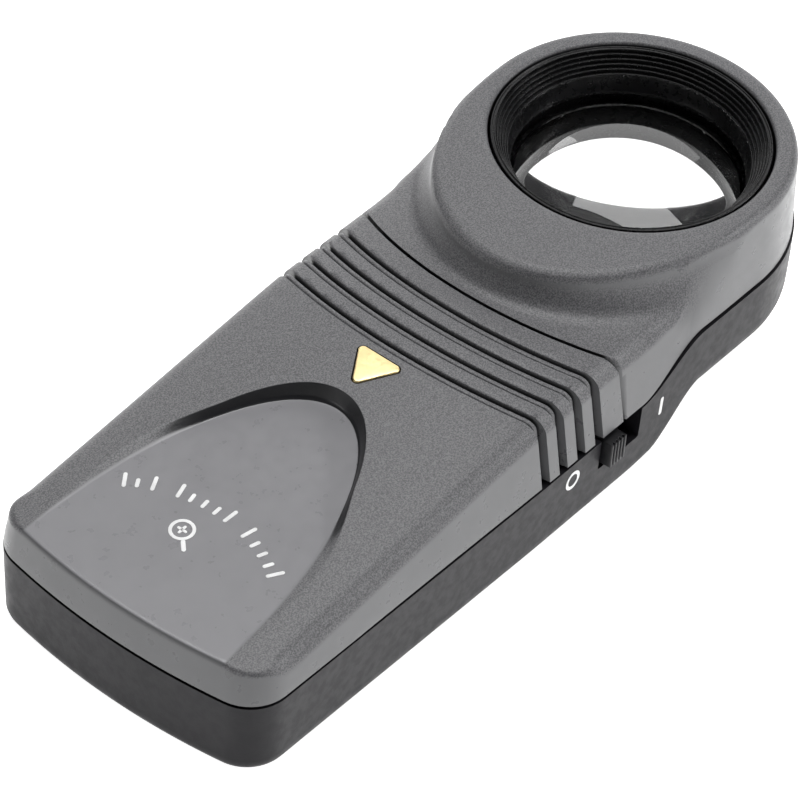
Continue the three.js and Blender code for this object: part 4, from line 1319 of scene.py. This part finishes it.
def build_camera():
    data = bpy.data.cameras.new("camera")
    data.lens = 209.51
    data.sensor_width = 36.0
    data.clip_start = 0.01
    obj = link(bpy.data.objects.new("camera", data))
    heading = Matrix.Rotation(math.radians(CAMERA_HEADING - 90), 4, "Z")
    tilt = Matrix.Rotation(math.radians(90 - CAMERA_DOWN), 4, "X")
    roll = Matrix.Rotation(math.radians(CAMERA_ROLL), 4, "Z")
    obj.matrix_world = Matrix.Translation(Vector(CAMERA_PLACE) * MM) @ heading @ tilt @ roll
    bpy.context.scene.camera = obj


build_camera()
build_light()
build_stage()
GREY = grey_plastic()
DARK = dark_plastic()
BLACK = black_plastic()
TUBE_BLACK = black_plastic("barrel_black", (0.006, 0.006, 0.0065), 0.24)
GOLD = metal("gold_film", (1.0, 0.80, 0.42), 0.38, 0.03)
GLASS = clear_material("lens_crown_glass", (1.0, 1.0, 1.0), 1.52)
EPOXY = clear_material("lamp_clear_epoxy", (0.97, 0.98, 1.0), 1.5)
WHITE = soft_plastic("white_ink", (0.9, 0.9, 0.9), 0.45)
NATURAL = soft_plastic("white_moulding", (0.78, 0.77, 0.72), 0.4)
STEEL = metal("spring_wire", (0.66, 0.67, 0.69), 0.28)
SCREW = metal("screw_zinc", (0.5, 0.52, 0.55), 0.32)
TIN = metal("tinned_metal", (0.62, 0.62, 0.64), 0.35)
FILM = sleeve_material()
BOARD = board_material()
LACQUER = resistor_material()
RED = soft_plastic("red_insulation", (0.45, 0.02, 0.015))
BLACK_INSULATION = soft_plastic("black_insulation", (0.012, 0.012, 0.013))

build_covers(GREY, GOLD)
build_lower(DARK)
barrel(TUBE_BLACK)
turned_rings(TUBE_BLACK)
lens("upper_lens", [GLASS, TUBE_BLACK], plane_z=15.6, edge_z=16.5, sphere=21.0, block_z=11.55)
lens("lower_lens", [GLASS, TUBE_BLACK], plane_z=11.25, edge_z=9.9, sphere=60.0)
switch_parts(BLACK)
screws(SCREW)
wires(RED, BLACK_INSULATION)
springs(STEEL)
cells(FILM, TIN)
lamp(EPOXY, TIN)
resistor(LACQUER)
recess_marks(WHITE)
side_marks(WHITE)

# CAD nodes that keep their shape get their own finish.
KEPT = {
    "lamp_holder": NATURAL, "circuit_board": BOARD, "switch_body": BLACK,
    "switch_terminal_a": TIN, "switch_terminal_b": TIN, "switch_terminal_c": TIN,
    "lamp_lead_positive": TIN, "lamp_lead_negative": TIN,
    "positive_contact": STEEL, "negative_contact": STEEL, "bridge_contact": STEEL,
}
for node_name, finish in KEPT.items():
    for place in nodes[node_name].material_slots:
        place.material = finish
